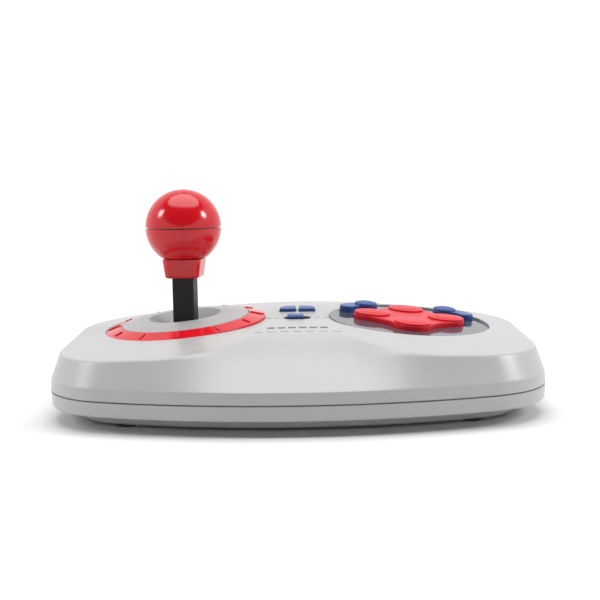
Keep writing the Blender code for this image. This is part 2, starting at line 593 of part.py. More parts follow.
def make_housing(look, steel, hidden):
    frame = stick_frame()
    outer = HOUSING_IN + HOUSING_WALL
    flange = outer + 7
    floor = HOUSING_Z + HOUSING_FLOOR
    housing = prism("stick_housing", chamfered_square(flange, 5), HOUSING_Z, floor, look, frame)
    low, high = (-outer, -outer, HOUSING_Z + 0.5), (outer, outer, HOUSING_TOP_Z)
    join(housing, box("housing_walls", low, high, hidden, frame))
    low, high = (-HOUSING_IN, -HOUSING_IN, floor), (HOUSING_IN, HOUSING_IN, HOUSING_TOP_Z + 5)
    cut(housing, box("housing_cavity", low, high, hidden, frame))
    start, end = (-outer - 3, 0, PIVOT_Z), (outer + 3, 0, PIVOT_Z)
    cut(housing, rod("trunnion_bore", start, end, GIMBAL_PIN_R + GAP, hidden, frame))
    for i, (x, y) in enumerate(housing_screws()):
        cut(housing, rod(f"flange_hole_{i}", (x, y, 2), (x, y, floor + 3), 1.9, hidden))
        profile = [(0, 3.0), (1.3, 3.4), (1.3, floor + GAP), (2.8, floor + GAP)]
        profile += [(2.8, floor + 1.6), (0, floor + 2.0)]
        revolve(f"housing_screw_{i + 1}", profile, steel, steps=14, at=(x, y))
    return housing


def make_stick_switches(look, hidden):
    base = HOUSING_Z + HOUSING_FLOOR + GAP
    for i, name in enumerate(("right", "back", "left", "front")):
        frame = stick_frame() @ Matrix.Rotation(i * pi / 2, 4, "Z")
        low = (SWITCH_NEAR, -SWITCH_LONG / 2, base)
        high = (SWITCH_NEAR + SWITCH_DEEP, SWITCH_LONG / 2, base + SWITCH_H)
        body = box(f"stick_switch_{name}", low, high, look, frame)
        nub = rod(f"nub_{name}", (SWITCH_NEAR - 0.6, 0, base + 5), (SWITCH_NEAR + 2, 0, base + 5),
                  1.0, hidden, frame, steps=12)
        join(body, nub)


# ---------------------------------------------------------------- buttons


def board_posts():
    at = BOARD_SCREW_AT
    return [(-at, -at), (at, -at), (at, at), (-at, at)]


def centre_posts():
    return [(-13.5, 7.0), (13.5, 7.0)]


def lobed(grow):
    """Four round lobes joined by hollow arcs, grown outward by `grow`."""
    half = sqrt(0.5)
    bridge = (LOBE_AT**2 - (LOBE_R - NOTCH_R) ** 2) / (2 * (LOBE_R - NOTCH_R) + LOBE_AT * half * 2)
    hollow = bridge - NOTCH_R
    touch = atan2(bridge * half, bridge * half - LOBE_AT)
    points = []
    for i in range(4):
        a = i * pi / 2
        cx, cy = LOBE_AT * cos(a), LOBE_AT * sin(a)
        points += arc(cx, cy, LOBE_R + grow, a - touch, a + touch, 9)
        b = a + pi / 4
        start = a + touch + pi
        end = b * 2 - (a + touch) + pi
        cx, cy = bridge * cos(b), bridge * sin(b)
        points += arc(cx, cy, hollow - grow, start, end, 4)
    return [(x, y) for x, y, _, _ in points]


def bean_outline(side, grow):
    """A shoulder button's plan: a round head and a narrower arm that curves about the pad."""
    head_r, head_a = hypot(*BEAN_HEAD), atan2(BEAN_HEAD[1], BEAN_HEAD[0])
    outer, inner = [], []
    for i in range(BEAN_STEPS + 1):
        share = i / BEAN_STEPS
        bend = smoothstep(0, 0.8, share)
        a = head_a + (BEAN_END - head_a) * share
        r = head_r + (BEAN_ARM_R - head_r) * bend
        half = BEAN_HEAD_R + (BEAN_ARM_HALF - BEAN_HEAD_R) * bend + grow
        outer.append(((r + half) * cos(a), (r + half) * sin(a)))
        inner.append(((r - half) * cos(a), (r - half) * sin(a)))
    end_x, end_y = BEAN_ARM_R * cos(BEAN_END), BEAN_ARM_R * sin(BEAN_END)
    tip = arc(end_x, end_y, BEAN_ARM_HALF + grow, BEAN_END, BEAN_END - pi, 6)[1:]
    cap = arc(*BEAN_HEAD, BEAN_HEAD_R + grow, head_a + pi, head_a, 8)[1:]
    points = outer + [(x, y) for x, y, _, _ in tip] + inner[::-1] + [(x, y) for x, y, _, _ in cap]
    return [(side * x, y) for x, y in points]


def bean(name, side, grow, low, high, look, frame, pivot=(0, 0, 0)):
    return prism(name, bean_outline(side, grow), low, high, look, frame, pivot)


def half_moon(side, grow):
    """A block with a flat inner side and a widely rounded back corner."""
    near, far, front, back = HALF_MOON
    near, far, front, back = near - min(grow, near - 0.3), far + grow, front - grow, back + grow
    r, back_r = HALF_MOON_FRONT_R + grow, HALF_MOON_BACK_R + grow
    points = [(near, back), (near, front)]
    points += [(x, y) for x, y, _, _ in arc(far - r, front + r, r, -pi / 2, 0, 3)]
    points += [(far, front + r)]
    points += [(x, y) for x, y, _, _ in arc(far - back_r, back - back_r, back_r, 0, pi / 2, 7)]
    points += [(far - back_r, back)]
    return [(side * x, y) for x, y in points]


def stadium(half, radius, y=None):
    """A slot shape lying along X."""
    y = SLOT_Y if y is None else y
    right = arc(half - radius, y, radius, -pi / 2, pi / 2, 10)
    left = arc(radius - half, y, radius, pi / 2, 3 * pi / 2, 10)
    ends = [(half - radius, y + radius), (radius - half, y - radius)]
    return [(px, py) for px, py, _, _ in right] + ends[:1] + [(px, py) for px, py, _, _ in left] + ends[1:]


def make_plate(look, hidden, right):
    low = PLATE_TOP - PLATE_T
    profile = [(0, low), (PLATE_R, low), (PLATE_R, PLATE_TOP), (0, PLATE_TOP)]
    plate = revolve("button_plate", profile, look, right, steps=40)
    cut(plate, prism("pad_outline_hole", lobed(0.6), low - 2, PLATE_TOP + 2, hidden, right))
    for side in (-1, 1):
        cut(plate, bean(f"plate_bean_hole_{side}", side, BUTTON_CLEAR, low - 2, PLATE_TOP + 2, hidden, right))
    return plate


def make_pad(red, dark, steel, hidden, right):
    """The four-way pad and the ring and bracket that it rocks on."""
    pivot = (0, 0, PAD_PIVOT)
    pad = prism("fire_pad", lobed(0), PAD_UNDER, PAD_WEB, red, right, pivot)
    for i in range(4):
        at = (LOBE_AT * cos(i * pi / 2), LOBE_AT * sin(i * pi / 2))
        r = LOBE_R - 0.25
        dome = [(0, PAD_WEB - 1), (r, PAD_WEB - 1), (r, PAD_STEP - 0.3), (r - 0.5, PAD_STEP)]
        dome += [(r * 0.6, PAD_TOP - 0.22), (0, PAD_TOP)]
        join(pad, revolve(f"pad_dome_{i}", dome, hidden, right, steps=20, at=at))
        join(pad, rod(f"pad_stem_{i}", (*at, STEM_END), (*at, PAD_UNDER + 1), 2.5, hidden, right, steps=16))
    hub = 3.5
    join(pad, box("pad_hub", (-hub, -hub, PAD_PIVOT - 2), (hub, hub, PAD_UNDER + 1), hidden, right))
    ring_in, ring_out = 5.0, 8.9
    pin = ring_out - 0.4
    join(pad, rod("pad_pin", (0, -pin, PAD_PIVOT), (0, pin, PAD_PIVOT), PAD_PIN_R, hidden, right, steps=16))
    make_gimbal("pad_rocker", ring_in, ring_out, 2.2, PAD_PIN_R, ring_out + 2.9, dark, hidden, right, PAD_PIVOT)
    ear_in, ear_out, top = ring_out + 0.6, ring_out + 3.1, PAD_PIVOT + 2.3
    base = BOARD_TOP + GAP
    bracket = box("pad_bracket", (-ear_out, -4, base), (ear_out, 4, top), steel, right)
    cut(bracket, box("bracket_gap", (-ear_in, -6, base + 1.2), (ear_in, 6, top + 2), hidden, right))
    start, end = (-ear_out - 2, 0, PAD_PIVOT), (ear_out + 2, 0, PAD_PIVOT)
    return cut(bracket, rod("ear_bore", start, end, PAD_PIN_R + GAP, hidden, right, steps=16))


def make_shoulders(look, hidden, right):
    for side, name in ((-1, "left"), (1, "right")):
        hx, hy = side * BEAN_HEAD[0], BEAN_HEAD[1]
        levels = [(0, LEDGE_BOTTOM - 0.6), (0, BEAN_BASE - 0.6), (-0.6, BEAN_BASE)]
        loops = [[(x, y, h) for x, y in bean_outline(side, grow)] for grow, h in levels]
        body = loft(f"shoulder_button_{name}", loops, look, right, (hx, hy, BEAN_TOP))
        r = BEAN_HEAD_R - 0.3
        low = BEAN_BASE - 1.0  # stays above the plate when pressed
        head = [(0, low), (r, low), (r, BEAN_TOP - 0.9), (r - 0.8, BEAN_TOP - 0.3), (0, BEAN_TOP)]
        join(body, revolve(f"shoulder_head_{name}", head, hidden, right, steps=28, at=(hx, hy)))
        flange = LEDGE_BOTTOM - GAP
        join(body, bean(f"shoulder_flange_{name}", side, 1.0, flange - 1, flange, hidden, right))
        join(body, rod(f"shoulder_stem_{name}", (hx, hy, STEM_END), (hx, hy, flange), 2.5, hidden, right))


def make_button_board(board, silicone, steel, hidden, right):
    half, low = BOARD_SCREW_AT + 4.5, BOARD_TOP - BOARD_T
    plate = box("button_board", (-half, -half, low), (half, half, BOARD_TOP), board, right)
    for i, (x, y) in enumerate(board_posts()):
        cut(plate, rod(f"board_hole_{i}", (x, y, low - 2), (x, y, BOARD_TOP + 2), 1.9, hidden, right))
    board_screws("button_board_screw", board_posts(), steel, right)
    low = BOARD_TOP + GAP
    top = low + MEMBRANE_T
    sheet = [(0, low), (38, low), (38, top), (0, top)]
    membrane = revolve("button_membrane", sheet, silicone, right, steps=40)
    window = box("bracket_window", (-13, -5, low - 1), (13, 5, top + 1), hidden, right)
    cut(membrane, window)
    spots = [(LOBE_AT * cos(i * pi / 2), LOBE_AT * sin(i * pi / 2)) for i in range(4)]
    spots += [(side * BEAN_HEAD[0], BEAN_HEAD[1]) for side in (-1, 1)]
    domes(membrane, "button", spots, top, silicone, right)
    return plate


def domes(membrane, name, spots, top, look, frame):
    for i, at in enumerate(spots):
        shape = [(0, top - 0.5), (3.6, top - 0.5), (2.6, DOME_TOP), (0, DOME_TOP)]
        join(membrane, revolve(f"{name}_dome_{i}", shape, look, frame, steps=16, at=at))


def board_screws(name, places, look, frame):
    low = BOARD_TOP - BOARD_T - GAP
    for i, at in enumerate(places):
        profile = [(0, low - 1.6), (2.8, low - 1.6), (2.8, low), (1.3, low), (1.3, BOARD_TOP + 5), (0, BOARD_TOP + 5.4)]
        revolve(f"{name}_{i + 1}", profile, look, frame, steps=14, at=at)


# ---------------------------------------------------------------- centre controls


def make_centre(blue, black, board, silicone, steel, hidden, centre):
    for side, name in ((-1, "select_button"), (1, "start_button")):
        near, far, front, back = HALF_MOON
        at = (side * (near + far) / 2, (front + back) / 2)
        pivot = (*at, HALF_MOON_TOP)
        shape, shrunk = half_moon(side, 0), half_moon(side, -0.5)
        levels = [(shape, -4.5), (shape, HALF_MOON_TOP - 0.5), (shrunk, HALF_MOON_TOP)]
        loops = [[(x, y, h) for x, y in outline] for outline, h in levels]
        button = loft(name, loops, blue, centre, pivot)
        wide = [(x * 1.0 + side * 0.4, y) for x, y in half_moon(side, 0.9)]
        join(button, prism(f"{name}_flange", wide, -5.4, -4.2, hidden, centre))
        join(button, rod(f"{name}_stem", (*at, STEM_END), (*at, -5), 2.2, hidden, centre, steps=14))

    low, high = BOARD_TOP - BOARD_T, BOARD_TOP
    plate = box("centre_board", (-17, -14, low), (17, 27, high), board, centre)
    for i, (x, y) in enumerate(centre_posts()):
        cut(plate, rod(f"centre_hole_{i}", (x, y, low - 2), (x, y, high + 2), 1.9, hidden, centre))
    board_screws("centre_board_screw", centre_posts(), steel, centre)
    base = BOARD_TOP + GAP
    membrane = box("centre_membrane", (-11, 12, base), (11, 25, base + MEMBRANE_T), silicone, centre)
    near, far, front, back = HALF_MOON
    spots = [(side * (near + far) / 2, (front + back) / 2) for side in (-1, 1)]
    domes(membrane, "centre", spots, base + MEMBRANE_T, silicone, centre)

    frame_top, frame_low = -0.9, -(WALL + 0.4)
    bezel = prism("slide_bezel", stadium(SLOT_HALF - GAP, SLOT_R - GAP), frame_low, frame_top, black, centre)
    brim = stadium(SLOT_HALF + 1.5, SLOT_R + 1.5)
    join(bezel, prism("bezel_brim", brim, frame_low - 1.4, frame_low, hidden, centre))
    stem_half, stem_deep = 1.5, 1.2
    low_x, high_x = KNOB_X - KNOB_LEFT - stem_half - GAP, KNOB_X + KNOB_RIGHT + stem_half + GAP
    slot_low, slot_high = (low_x, SLOT_Y - stem_deep - GAP, -6), (high_x, SLOT_Y + stem_deep + GAP, 2)
    cut(bezel, box("bezel_slot", slot_low, slot_high, hidden, centre))

    pivot = (KNOB_X, SLOT_Y, 0)
    deep = KNOB_DEEP / 2
    low, high = (KNOB_X - KNOB_HALF, SLOT_Y - deep, KNOB_LOW), (KNOB_X + KNOB_HALF, SLOT_Y + deep, KNOB_TOP)
    knob = box("slide_knob", low, high, blue, centre, pivot)
    for i in range(5):
        x = KNOB_X + (i - 2) * 1.5
        low, high = (x - 0.35, SLOT_Y - 6, KNOB_TOP - 0.6), (x + 0.35, SLOT_Y + 6, 5)
        cut(knob, box(f"knob_groove_{i}", low, high, hidden, centre))
    low, high = (KNOB_X - stem_half, SLOT_Y - stem_deep, -6.6), (KNOB_X + stem_half, SLOT_Y + stem_deep, 0.8)
    stem = box("knob_stem", low, high, hidden, centre)
    join(knob, stem)
    low, high = (KNOB_X - 7, SLOT_Y - 3.5, base), (KNOB_X + 9, SLOT_Y + 3.5, -7.0)
    return box("slide_switch", low, high, steel, centre)


# ---------------------------------------------------------------- whole object


def main():
    clear_scene()
    shell = material("shell_grey", (0.72, 0.72, 0.73), 0.45)
    disc = material("disc_grey", (0.60, 0.60, 0.61), 0.4)
    plate = material("plate_grey", (0.42, 0.42, 0.46), 0.15)
    red = material("red_gloss", (0.68, 0.01, 0.018), 0.15)
    pad_red = material("red_satin", (0.70, 0.03, 0.035), 0.4)
    blue = material("blue_satin", (0.03, 0.075, 0.30), 0.35)
    black = material("black_plastic", (0.03, 0.028, 0.028), 0.4)
    dark = material("dark_rubber", (0.05, 0.05, 0.05), 0.8)
    steel = material("steel", (0.5, 0.5, 0.5), 0.3, 1.0)
    board = material("board_green", (0.03, 0.16, 0.06), 0.5)
    silicone = material("silicone", (0.55, 0.55, 0.52), 0.7)
    hidden = material("helper", (0.8, 0.3, 0.8), 0.5)

    crown = ROUND_X / CROWN_R
    left = frame_at(-ROUND_X, ROUND_Y, crown, DECK_SLOPE)
    right = frame_at(ROUND_X, ROUND_Y, -crown, DECK_SLOPE)
    centre = frame_at(0, ROUND_Y, 0, DECK_SLOPE)

    make_top_shell(shell, hidden, left, right, centre)
    make_bottom_shell(shell, hidden)
    make_fasteners_and_feet(steel, dark)
    for side, name in ((-1, "left"), (1, "right")):
        side_pad(f"side_pad_{name}", side, 0, GAP - 1.3, 0.9, dark)
    make_gland(black)

    make_ring(red, hidden, left)
    make_disc(disc, left)
    make_stick(black, red, steel, steel, hidden)
    pin_end = HOUSING_IN + HOUSING_WALL - GAP
    make_gimbal("gimbal_ring", GIMBAL_IN, GIMBAL_OUT, GIMBAL_HALF_H, GIMBAL_PIN_R, pin_end,
                black, hidden, stick_frame(), PIVOT_Z)
    make_housing(black, steel, hidden)
    make_stick_switches(black, hidden)

    make_plate(plate, hidden, right)
    make_pad(pad_red, black, steel, hidden, right)
    make_shoulders(blue, hidden, right)
    make_button_board(board, silicone, steel, hidden, right)
    make_centre(blue, black, board, silicone, steel, hidden, centre)


main()
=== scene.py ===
"""The looks of the arcade joystick controller: finer skins over the CAD frame, procedural plastics,
a pale floor and soft studio light. Lengths are in millimetres and become metres in the mesh helpers.
Places come from the CAD nodes' boxes where they can."""

import json
from math import asin, atan2, cos, hypot, pi, radians, sin, sqrt, tan

import bmesh
import bpy
from mathutils import Matrix, Vector


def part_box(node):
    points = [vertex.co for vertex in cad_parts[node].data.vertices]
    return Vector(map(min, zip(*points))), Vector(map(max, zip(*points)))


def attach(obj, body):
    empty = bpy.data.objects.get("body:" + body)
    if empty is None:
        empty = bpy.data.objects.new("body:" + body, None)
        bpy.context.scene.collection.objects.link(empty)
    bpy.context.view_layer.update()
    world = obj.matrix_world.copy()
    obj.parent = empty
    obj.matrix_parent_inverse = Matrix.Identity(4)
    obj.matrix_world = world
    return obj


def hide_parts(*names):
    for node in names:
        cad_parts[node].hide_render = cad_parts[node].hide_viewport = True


MM = 0.001

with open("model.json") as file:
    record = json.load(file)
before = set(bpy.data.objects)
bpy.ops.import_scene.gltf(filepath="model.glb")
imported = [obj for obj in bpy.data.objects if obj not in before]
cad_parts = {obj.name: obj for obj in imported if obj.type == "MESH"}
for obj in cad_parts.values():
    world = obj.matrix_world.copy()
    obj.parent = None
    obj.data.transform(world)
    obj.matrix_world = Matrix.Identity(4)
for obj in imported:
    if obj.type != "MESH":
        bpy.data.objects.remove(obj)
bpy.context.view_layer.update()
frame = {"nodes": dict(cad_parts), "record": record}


def extent(node):
    """A CAD node's lowest and highest corners in millimetres."""
    low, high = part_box(node)
    return low / MM, high / MM


def middle(node):
    low, high = extent(node)
    return (low + high) / 2


# ---------------------------------------------------------------- driving dimensions
# Heights above the deck are measured from its plane at each round, not from the floor.

CASE_LOW, CASE_HIGH = extent("top_shell")
HALF_WIDTH, FRONT_Y, BACK_Y = CASE_HIGH.x, CASE_LOW.y, CASE_HIGH.y
RIM_Z, TRAY_RIM_Z = 15.5, 14.9
WALL = 2.2
FRONT_ARC_R, FRONT_CORNER_R = 298.0, 43.6
BACK_ARC_R, BACK_CORNER_R = 500.0, 42.0
BAND_TOP_Z, BAND_DRAFT = 21.4, 0.4
TRAY_Z, PLINTH_INSET, PLINTH_Z = 7.7, 14.5, 1.2
TRAY_ROUND, PLINTH_ROUND = 0.9, 1.6

COUNTERBORE_R, COUNTERBORE_TOP, SCREW_HEAD_R, SCREW_HEAD_T = 3.5, 3.4, 3.2, 2.6
FOOT_R, FOOT_WELL_TOP = 6.0, 2.4
FLANK_PAD_HALF, FLANK_PAD_R, FLANK_PAD_RISE, FLANK_PAD_SEAT = 8.0, 2.0, 0.9, -1.0
GLAND_R, GLAND_BORE_R, GLAND_LENGTH = 5.0, 3.2, 14.0

DECK_Z, CROWN_R, OUTER_FALL, DECK_SLOPE = 40.8, 674.6, 0.93, tan(radians(2.73))
ROUND_X, ROUND_Y = 60.2, 19.0
NOSE_FROM, NOSE_SPAN, NOSE_DROP = 30.0, 48.0, 1.0
SIDE_STEEP, BACK_STEEP, FRONT_STEEP, SCOOP_STEEP = 2.75, 2.15, 1.9, 0.5
SCOOP_HALF, SCOOP_END = 24.0, 80.0
SOFT_SCOOP, SOFT_EDGE, SOFT_SIDE, SOFT_BACK = 7.0, 1.2, 3.0, 2.3

RING_R, RING_INNER_R, RING_RISE, SEAT = 43.0, 34.5, 2.5, -1.9
DISH_R, DISH_TOP, STICK_HOLE_R, DISH_FLOOR = 19.9, 4.4, 10.9, -0.8
PLATE_R, PLATE_TOP, PLATE_LOW = 43.1, -0.8, -2.3
GAP = 0.3

LOBE_AT, LOBE_R, NOTCH_R = 19.8, 10.0, 21.3
PAD_WEB, PAD_STEP, PAD_TOP, PAD_UNDER = 1.9, 2.7, 3.5, -2.2
STEM_R, MOON_STEM_R, STEM_END = 2.5, 2.2, -8.5
PAD_CLEAR, BEAN_CLEAR, MOON_CLEAR = 0.6, 0.45, 0.4
BEAN_HEAD, BEAN_HEAD_R = (22.1, 23.5), 6.5
BEAN_ARM_R, BEAN_ARM_HALF, BEAN_END = 36.5, 4.2, radians(26)
BEAN_TOP, BEAN_BASE = 4.5, 2.6
HALF_MOON, HALF_MOON_TOP = (0.9, 9.8, 13.6, 23.0), 1.8
SLOT_HALF, SLOT_R, SLOT_Y = 7.4, 4.65, -4.65
KNOB_X, KNOB_HALF, KNOB_DEEP, KNOB_LOW, KNOB_TOP = -1.0, 4.5, 7.0, 0.35, 1.9
SHAFT_HALF, SHAFT_TURN = 5.8, radians(-7)
COLLAR_HALF, COLLAR_TOP_HALF = 9.1, 10.6
SHAFT_PIN_R, SHAFT_GROOVE_R, SHAFT_GROOVE, SHAFT_PIN_TOP = 3.0, 2.2, (10.2, 11.3), 23.5


# ---------------------------------------------------------------- mesh helpers


def smoothstep(low, high, value):
    t = min(1.0, max(0.0, (value - low) / (high - low)))
    return t * t * (3 - 2 * t)


def arc(cx, cy, r, start, end, count):
    """Points and normals along an arc, without its last one."""
    turn = [start + (end - start) * i / count for i in range(count)]
    return [(cx + r * cos(a), cy + r * sin(a), cos(a), sin(a)) for a in turn]


def rounded(corners, closed=True, steps=5):
    """A polyline whose corners (x, y, radius) are rounded."""
    points, count = [], len(corners)
    for i, (x, y, radius) in enumerate(corners):
        if radius == 0 or (not closed and i in (0, count - 1)):
            points.append((x, y))
            continue
        here = Vector((x, y))
        before = (Vector(corners[i - 1][:2]) - here).normalized()
        after = (Vector(corners[(i + 1) % count][:2]) - here).normalized()
        half = before.angle(after) / 2
        centre = here + (before + after).normalized() * radius / sin(half)
        first = here + before * radius / tan(half) - centre
        last = here + after * radius / tan(half) - centre
        for k in range(steps + 1):
            spoke = first.lerp(last, k / steps).normalized() * radius
            points.append(tuple(centre + spoke))
    return points


def grown(outline, by):
    """The closed outline moved along its normals; anticlockwise outlines grow."""
    count, area = len(outline), 0.0
    for i, (x, y) in enumerate(outline):
        nx, ny = outline[(i + 1) % count]
        area += x * ny - nx * y
    sign = 1 if area > 0 else -1
    moved = []
    for i in range(count):
        ax, ay = outline[i - 1]
        bx, by_ = outline[(i + 1) % count]
        along = Vector((bx - ax, by_ - ay)).normalized()
        moved.append((outline[i][0] + sign * along.y * by, outline[i][1] - sign * along.x * by))
    return moved


def circle(radius, steps, at=(0.0, 0.0)):
    turns = [2 * pi * i / steps for i in range(steps)]
    return [(at[0] + radius * cos(a), at[1] + radius * sin(a)) for a in turns]


def oblong(half_x, half_y, at=(0.0, 0.0), radius=0.0, steps=5):
    corners = [(-half_x, -half_y), (half_x, -half_y), (half_x, half_y), (-half_x, half_y)]
    return rounded([(at[0] + x, at[1] + y, radius) for x, y in corners], steps=steps)


def rod(radius, low, high):
    """The profile of a solid cylinder, for Form.revolve."""
    return [(0, low), (radius, low), (radius, high), (0, high)]


class Form:
    """Gathers closed shapes, in millimetres in one frame, into a single mesh."""

    def __init__(self, place=None):
        self.place = place or Matrix.Identity(4)
        self.points, self.faces = [], []

    def loft(self, loops, closed=False):
        starts, count = [], max(len(loop) for loop in loops)
        for loop in loops:
            starts.append(len(self.points))
            self.points.extend(self.place @ (Vector(p) * MM) for p in loop)
        pairs = list(zip(range(len(loops)), range(1, len(loops))))
        for a, b in pairs + ([(len(loops) - 1, 0)] if closed else []):
            for i in range(count):
                j = (i + 1) % count
                if len(loops[a]) == 1:
                    self.faces.append((starts[a], starts[b] + j, starts[b] + i))
                elif len(loops[b]) == 1:
                    self.faces.append((starts[a] + i, starts[a] + j, starts[b]))
                else:
                    self.faces.append((starts[a] + i, starts[a] + j, starts[b] + j, starts[b] + i))
        if not closed:
            for end in (0, len(loops) - 1):
                if len(loops[end]) > 1:
                    self.faces.append(tuple(starts[end] + i for i in range(count)))
        return self

    def revolve(self, profile, steps=72, closed=False, at=(0.0, 0.0)):
        loops = []
        for r, h in profile:
            ring = [(*at, h)] if r < 1e-6 else [(x, y, h) for x, y in circle(r, steps, at)]
            loops.append(ring)
        return self.loft(loops, closed)

    def slab(self, outline, low, top, edge=0.5, steps=5):
        """A prism with a rounded top edge."""
        loops = [[(x, y, low) for x, y in outline]]
        for k in range(steps + 1 if edge else 1):
            a = k / steps * pi / 2
            rim = grown(outline, -edge * (1 - cos(a)))
            loops.append([(x, y, top - edge * (1 - sin(a))) for x, y in rim])
        return self.loft(loops)

    def build(self, name, look, sharp=35.0):
        mesh = bpy.data.meshes.new(name)
        mesh.from_pydata(self.points, [], self.faces)
        tidy = bmesh.new()
        tidy.from_mesh(mesh)
        bmesh.ops.recalc_face_normals(tidy, faces=tidy.faces)
        tidy.to_mesh(mesh)
        tidy.free()
        mesh.materials.append(look)
        made = bpy.data.objects.new(name, mesh)
        bpy.context.scene.collection.objects.link(made)
        soften(made, sharp)
        return made


def soften(made, sharp=35.0):
    made.data.shade_smooth()
    made.data.set_sharp_from_angle(angle=radians(sharp))
    step = made.modifiers.new("even_normals", "WEIGHTED_NORMAL")
    step.keep_sharp, step.weight = True, 60


def carve(target, *cutters):
    """Cuts the cutters out of the target for good, then drops them."""
    target.modifiers.clear()
    for cutter in cutters:
        step = target.modifiers.new(cutter.name, "BOOLEAN")
        step.operation, step.solver, step.object = "DIFFERENCE", "EXACT", cutter
    bpy.context.view_layer.update()
    graph = bpy.context.evaluated_depsgraph_get()
    result = bpy.data.meshes.new_from_object(target.evaluated_get(graph))
    target.modifiers.clear()
    target.data = result
    for cutter in cutters:
        bpy.data.objects.remove(cutter, do_unlink=True)
    soften(target)
    return target


def fit(piece, body, slot, *nodes):
    """Puts a finished piece in the frame, in place of the CAD nodes it stands for."""
    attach(piece, body)
    if nodes:
        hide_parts(*nodes)
    return piece


def deck_height(x, y):
    ahead = y - ROUND_Y
    nose = NOSE_DROP * (max(0.0, -ahead - NOSE_FROM) / NOSE_SPAN) ** 2
    out = abs(x) - ROUND_X
    fall = (x**2 - ROUND_X**2) / (2 * CROWN_R) if out < 0 else out * ROUND_X / CROWN_R * OUTER_FALL
    return DECK_Z - fall + ahead * DECK_SLOPE - nose


def frame_at(x, y, tilt_x, tilt_y):
    """A frame on the deck plane: origin on the deck, Z along its normal, X in the plane."""
    across = Vector((1, 0, tilt_x)).normalized()
    normal = Vector((-tilt_x, -tilt_y, 1)).normalized()
    turn = Matrix((across, normal.cross(across), normal)).transposed().to_4x4()
    return Matrix.Translation(Vector((x, y, deck_height(x, y))) * MM) @ turn


CROWN = ROUND_X / CROWN_R
LEFT = frame_at(-ROUND_X, ROUND_Y, CROWN, DECK_SLOPE)
RIGHT = frame_at(ROUND_X, ROUND_Y, -CROWN, DECK_SLOPE)
CENTRE = frame_at(0, ROUND_Y, 0, DECK_SLOPE)
STICK = Matrix.Translation(Vector((-ROUND_X, ROUND_Y, 0)) * MM)


# ---------------------------------------------------------------- materials


def plastic(name, colour, roughness, grain=0.0, tint=0.03, scale=1400.0, specular=0.5):
    """Moulded plastic: a faint cloudiness in its colour, uneven gloss, and a fine spark-eroded grain."""
    look = bpy.data.materials.new(name)
    look.use_nodes = True
    nodes, links = look.node_tree.nodes, look.node_tree.links
    shader = nodes["Principled BSDF"]
    shader.inputs["Specular IOR Level"].default_value = specular
    place = nodes.new("ShaderNodeTexCoord")

    def noise(size, detail):
        made = nodes.new("ShaderNodeTexNoise")
        made.inputs["Scale"].default_value = size
        made.inputs["Detail"].default_value = detail
        links.new(place.outputs["Object"], made.inputs["Vector"])
        return made

    def ramp(source, low, high, out_low, out_high):
        made = nodes.new("ShaderNodeMapRange")
        values = zip(("From Min", "From Max", "To Min", "To Max"), (low, high, out_low, out_high))
        for socket, value in values:
            made.inputs[socket].default_value = value
        links.new(source, made.inputs["Value"])
        return made.outputs["Result"]

    speck, cloud = noise(scale, 2.0), noise(45.0, 3.0)
    tone = nodes.new("ShaderNodeMix")
    tone.data_type = "RGBA"
    tone.inputs["A"].default_value = (*[c * (1 - tint) for c in colour], 1)
    tone.inputs["B"].default_value = (*[min(1.0, c * (1 + tint)) for c in colour], 1)
    blend = nodes.new("ShaderNodeMath")
    blend.operation = "ADD"
    links.new(ramp(speck.outputs["Fac"], 0.3, 0.7, 0.0, 0.6), blend.inputs[0])
    links.new(ramp(cloud.outputs["Fac"], 0.35, 0.65, 0.0, 0.4), blend.inputs[1])
    links.new(blend.outputs[0], tone.inputs["Factor"])
    links.new(tone.outputs["Result"], shader.inputs["Base Color"])
    rough = ramp(cloud.outputs["Fac"], 0.3, 0.7, roughness * 0.9, roughness * 1.12)
    links.new(rough, shader.inputs["Roughness"])
    if grain:
        bump = nodes.new("ShaderNodeBump")
        bump.inputs["Strength"].default_value = grain
        bump.inputs["Distance"].default_value = 0.00006
        links.new(speck.outputs["Fac"], bump.inputs["Height"])
        links.new(bump.outputs["Normal"], shader.inputs["Normal"])
    return look


def metal(name, colour, roughness):
    look = plastic(name, colour, roughness, grain=0.15, scale=3000.0)
    look.node_tree.nodes["Principled BSDF"].inputs["Metallic"].default_value = 1.0
    return look


SHELL = plastic("shell_plastic", (0.42, 0.42, 0.42), 0.33, grain=0.35, tint=0.035)
DISC = plastic("disc_plastic", (0.36, 0.36, 0.36), 0.36, grain=0.3, tint=0.03)
PLATE = plastic("plate_plastic", (0.07, 0.07, 0.09), 0.06, tint=0.02, specular=0.4)
RED = plastic("red_gloss_plastic", (0.56, 0.005, 0.012), 0.16, tint=0.03)
RING_RED = plastic("ring_red_plastic", (0.60, 0.008, 0.018), 0.12, tint=0.03, specular=0.35)
PAD_RED = plastic("pad_red_plastic", (0.60, 0.012, 0.022), 0.34, grain=0.25, tint=0.04, specular=0.16)
BLUE = plastic("blue_plastic", (0.026, 0.075, 0.27), 0.36, grain=0.2, tint=0.05, specular=0.4)
BLACK = plastic("black_moulding", (0.027, 0.025, 0.025), 0.5, grain=0.25, tint=0.1, specular=0.12)
# Near-black rubber: the real colour of the feet, and on the flank pads a painted shade, since the pads'
# darkness is shade on a bump of the shell's plastic.
RUBBER_AND_PAINTED_SHADE = plastic("foot_rubber_and_flank_painted_shade", (0.035, 0.035, 0.036), 0.75, grain=0.6, tint=0.12, scale=900.0)
SILICONE = plastic("silicone_sheet", (0.55, 0.55, 0.52), 0.6, tint=0.05)
BOARD = plastic("board_laminate", (0.03, 0.16, 0.06), 0.4, tint=0.12, scale=500.0)
STEEL = metal("fastener_steel", (0.52, 0.52, 0.53), 0.28)
INK = plastic("print_ink", (0.10, 0.10, 0.105), 0.55, tint=0.1)


# ---------------------------------------------------------------- case


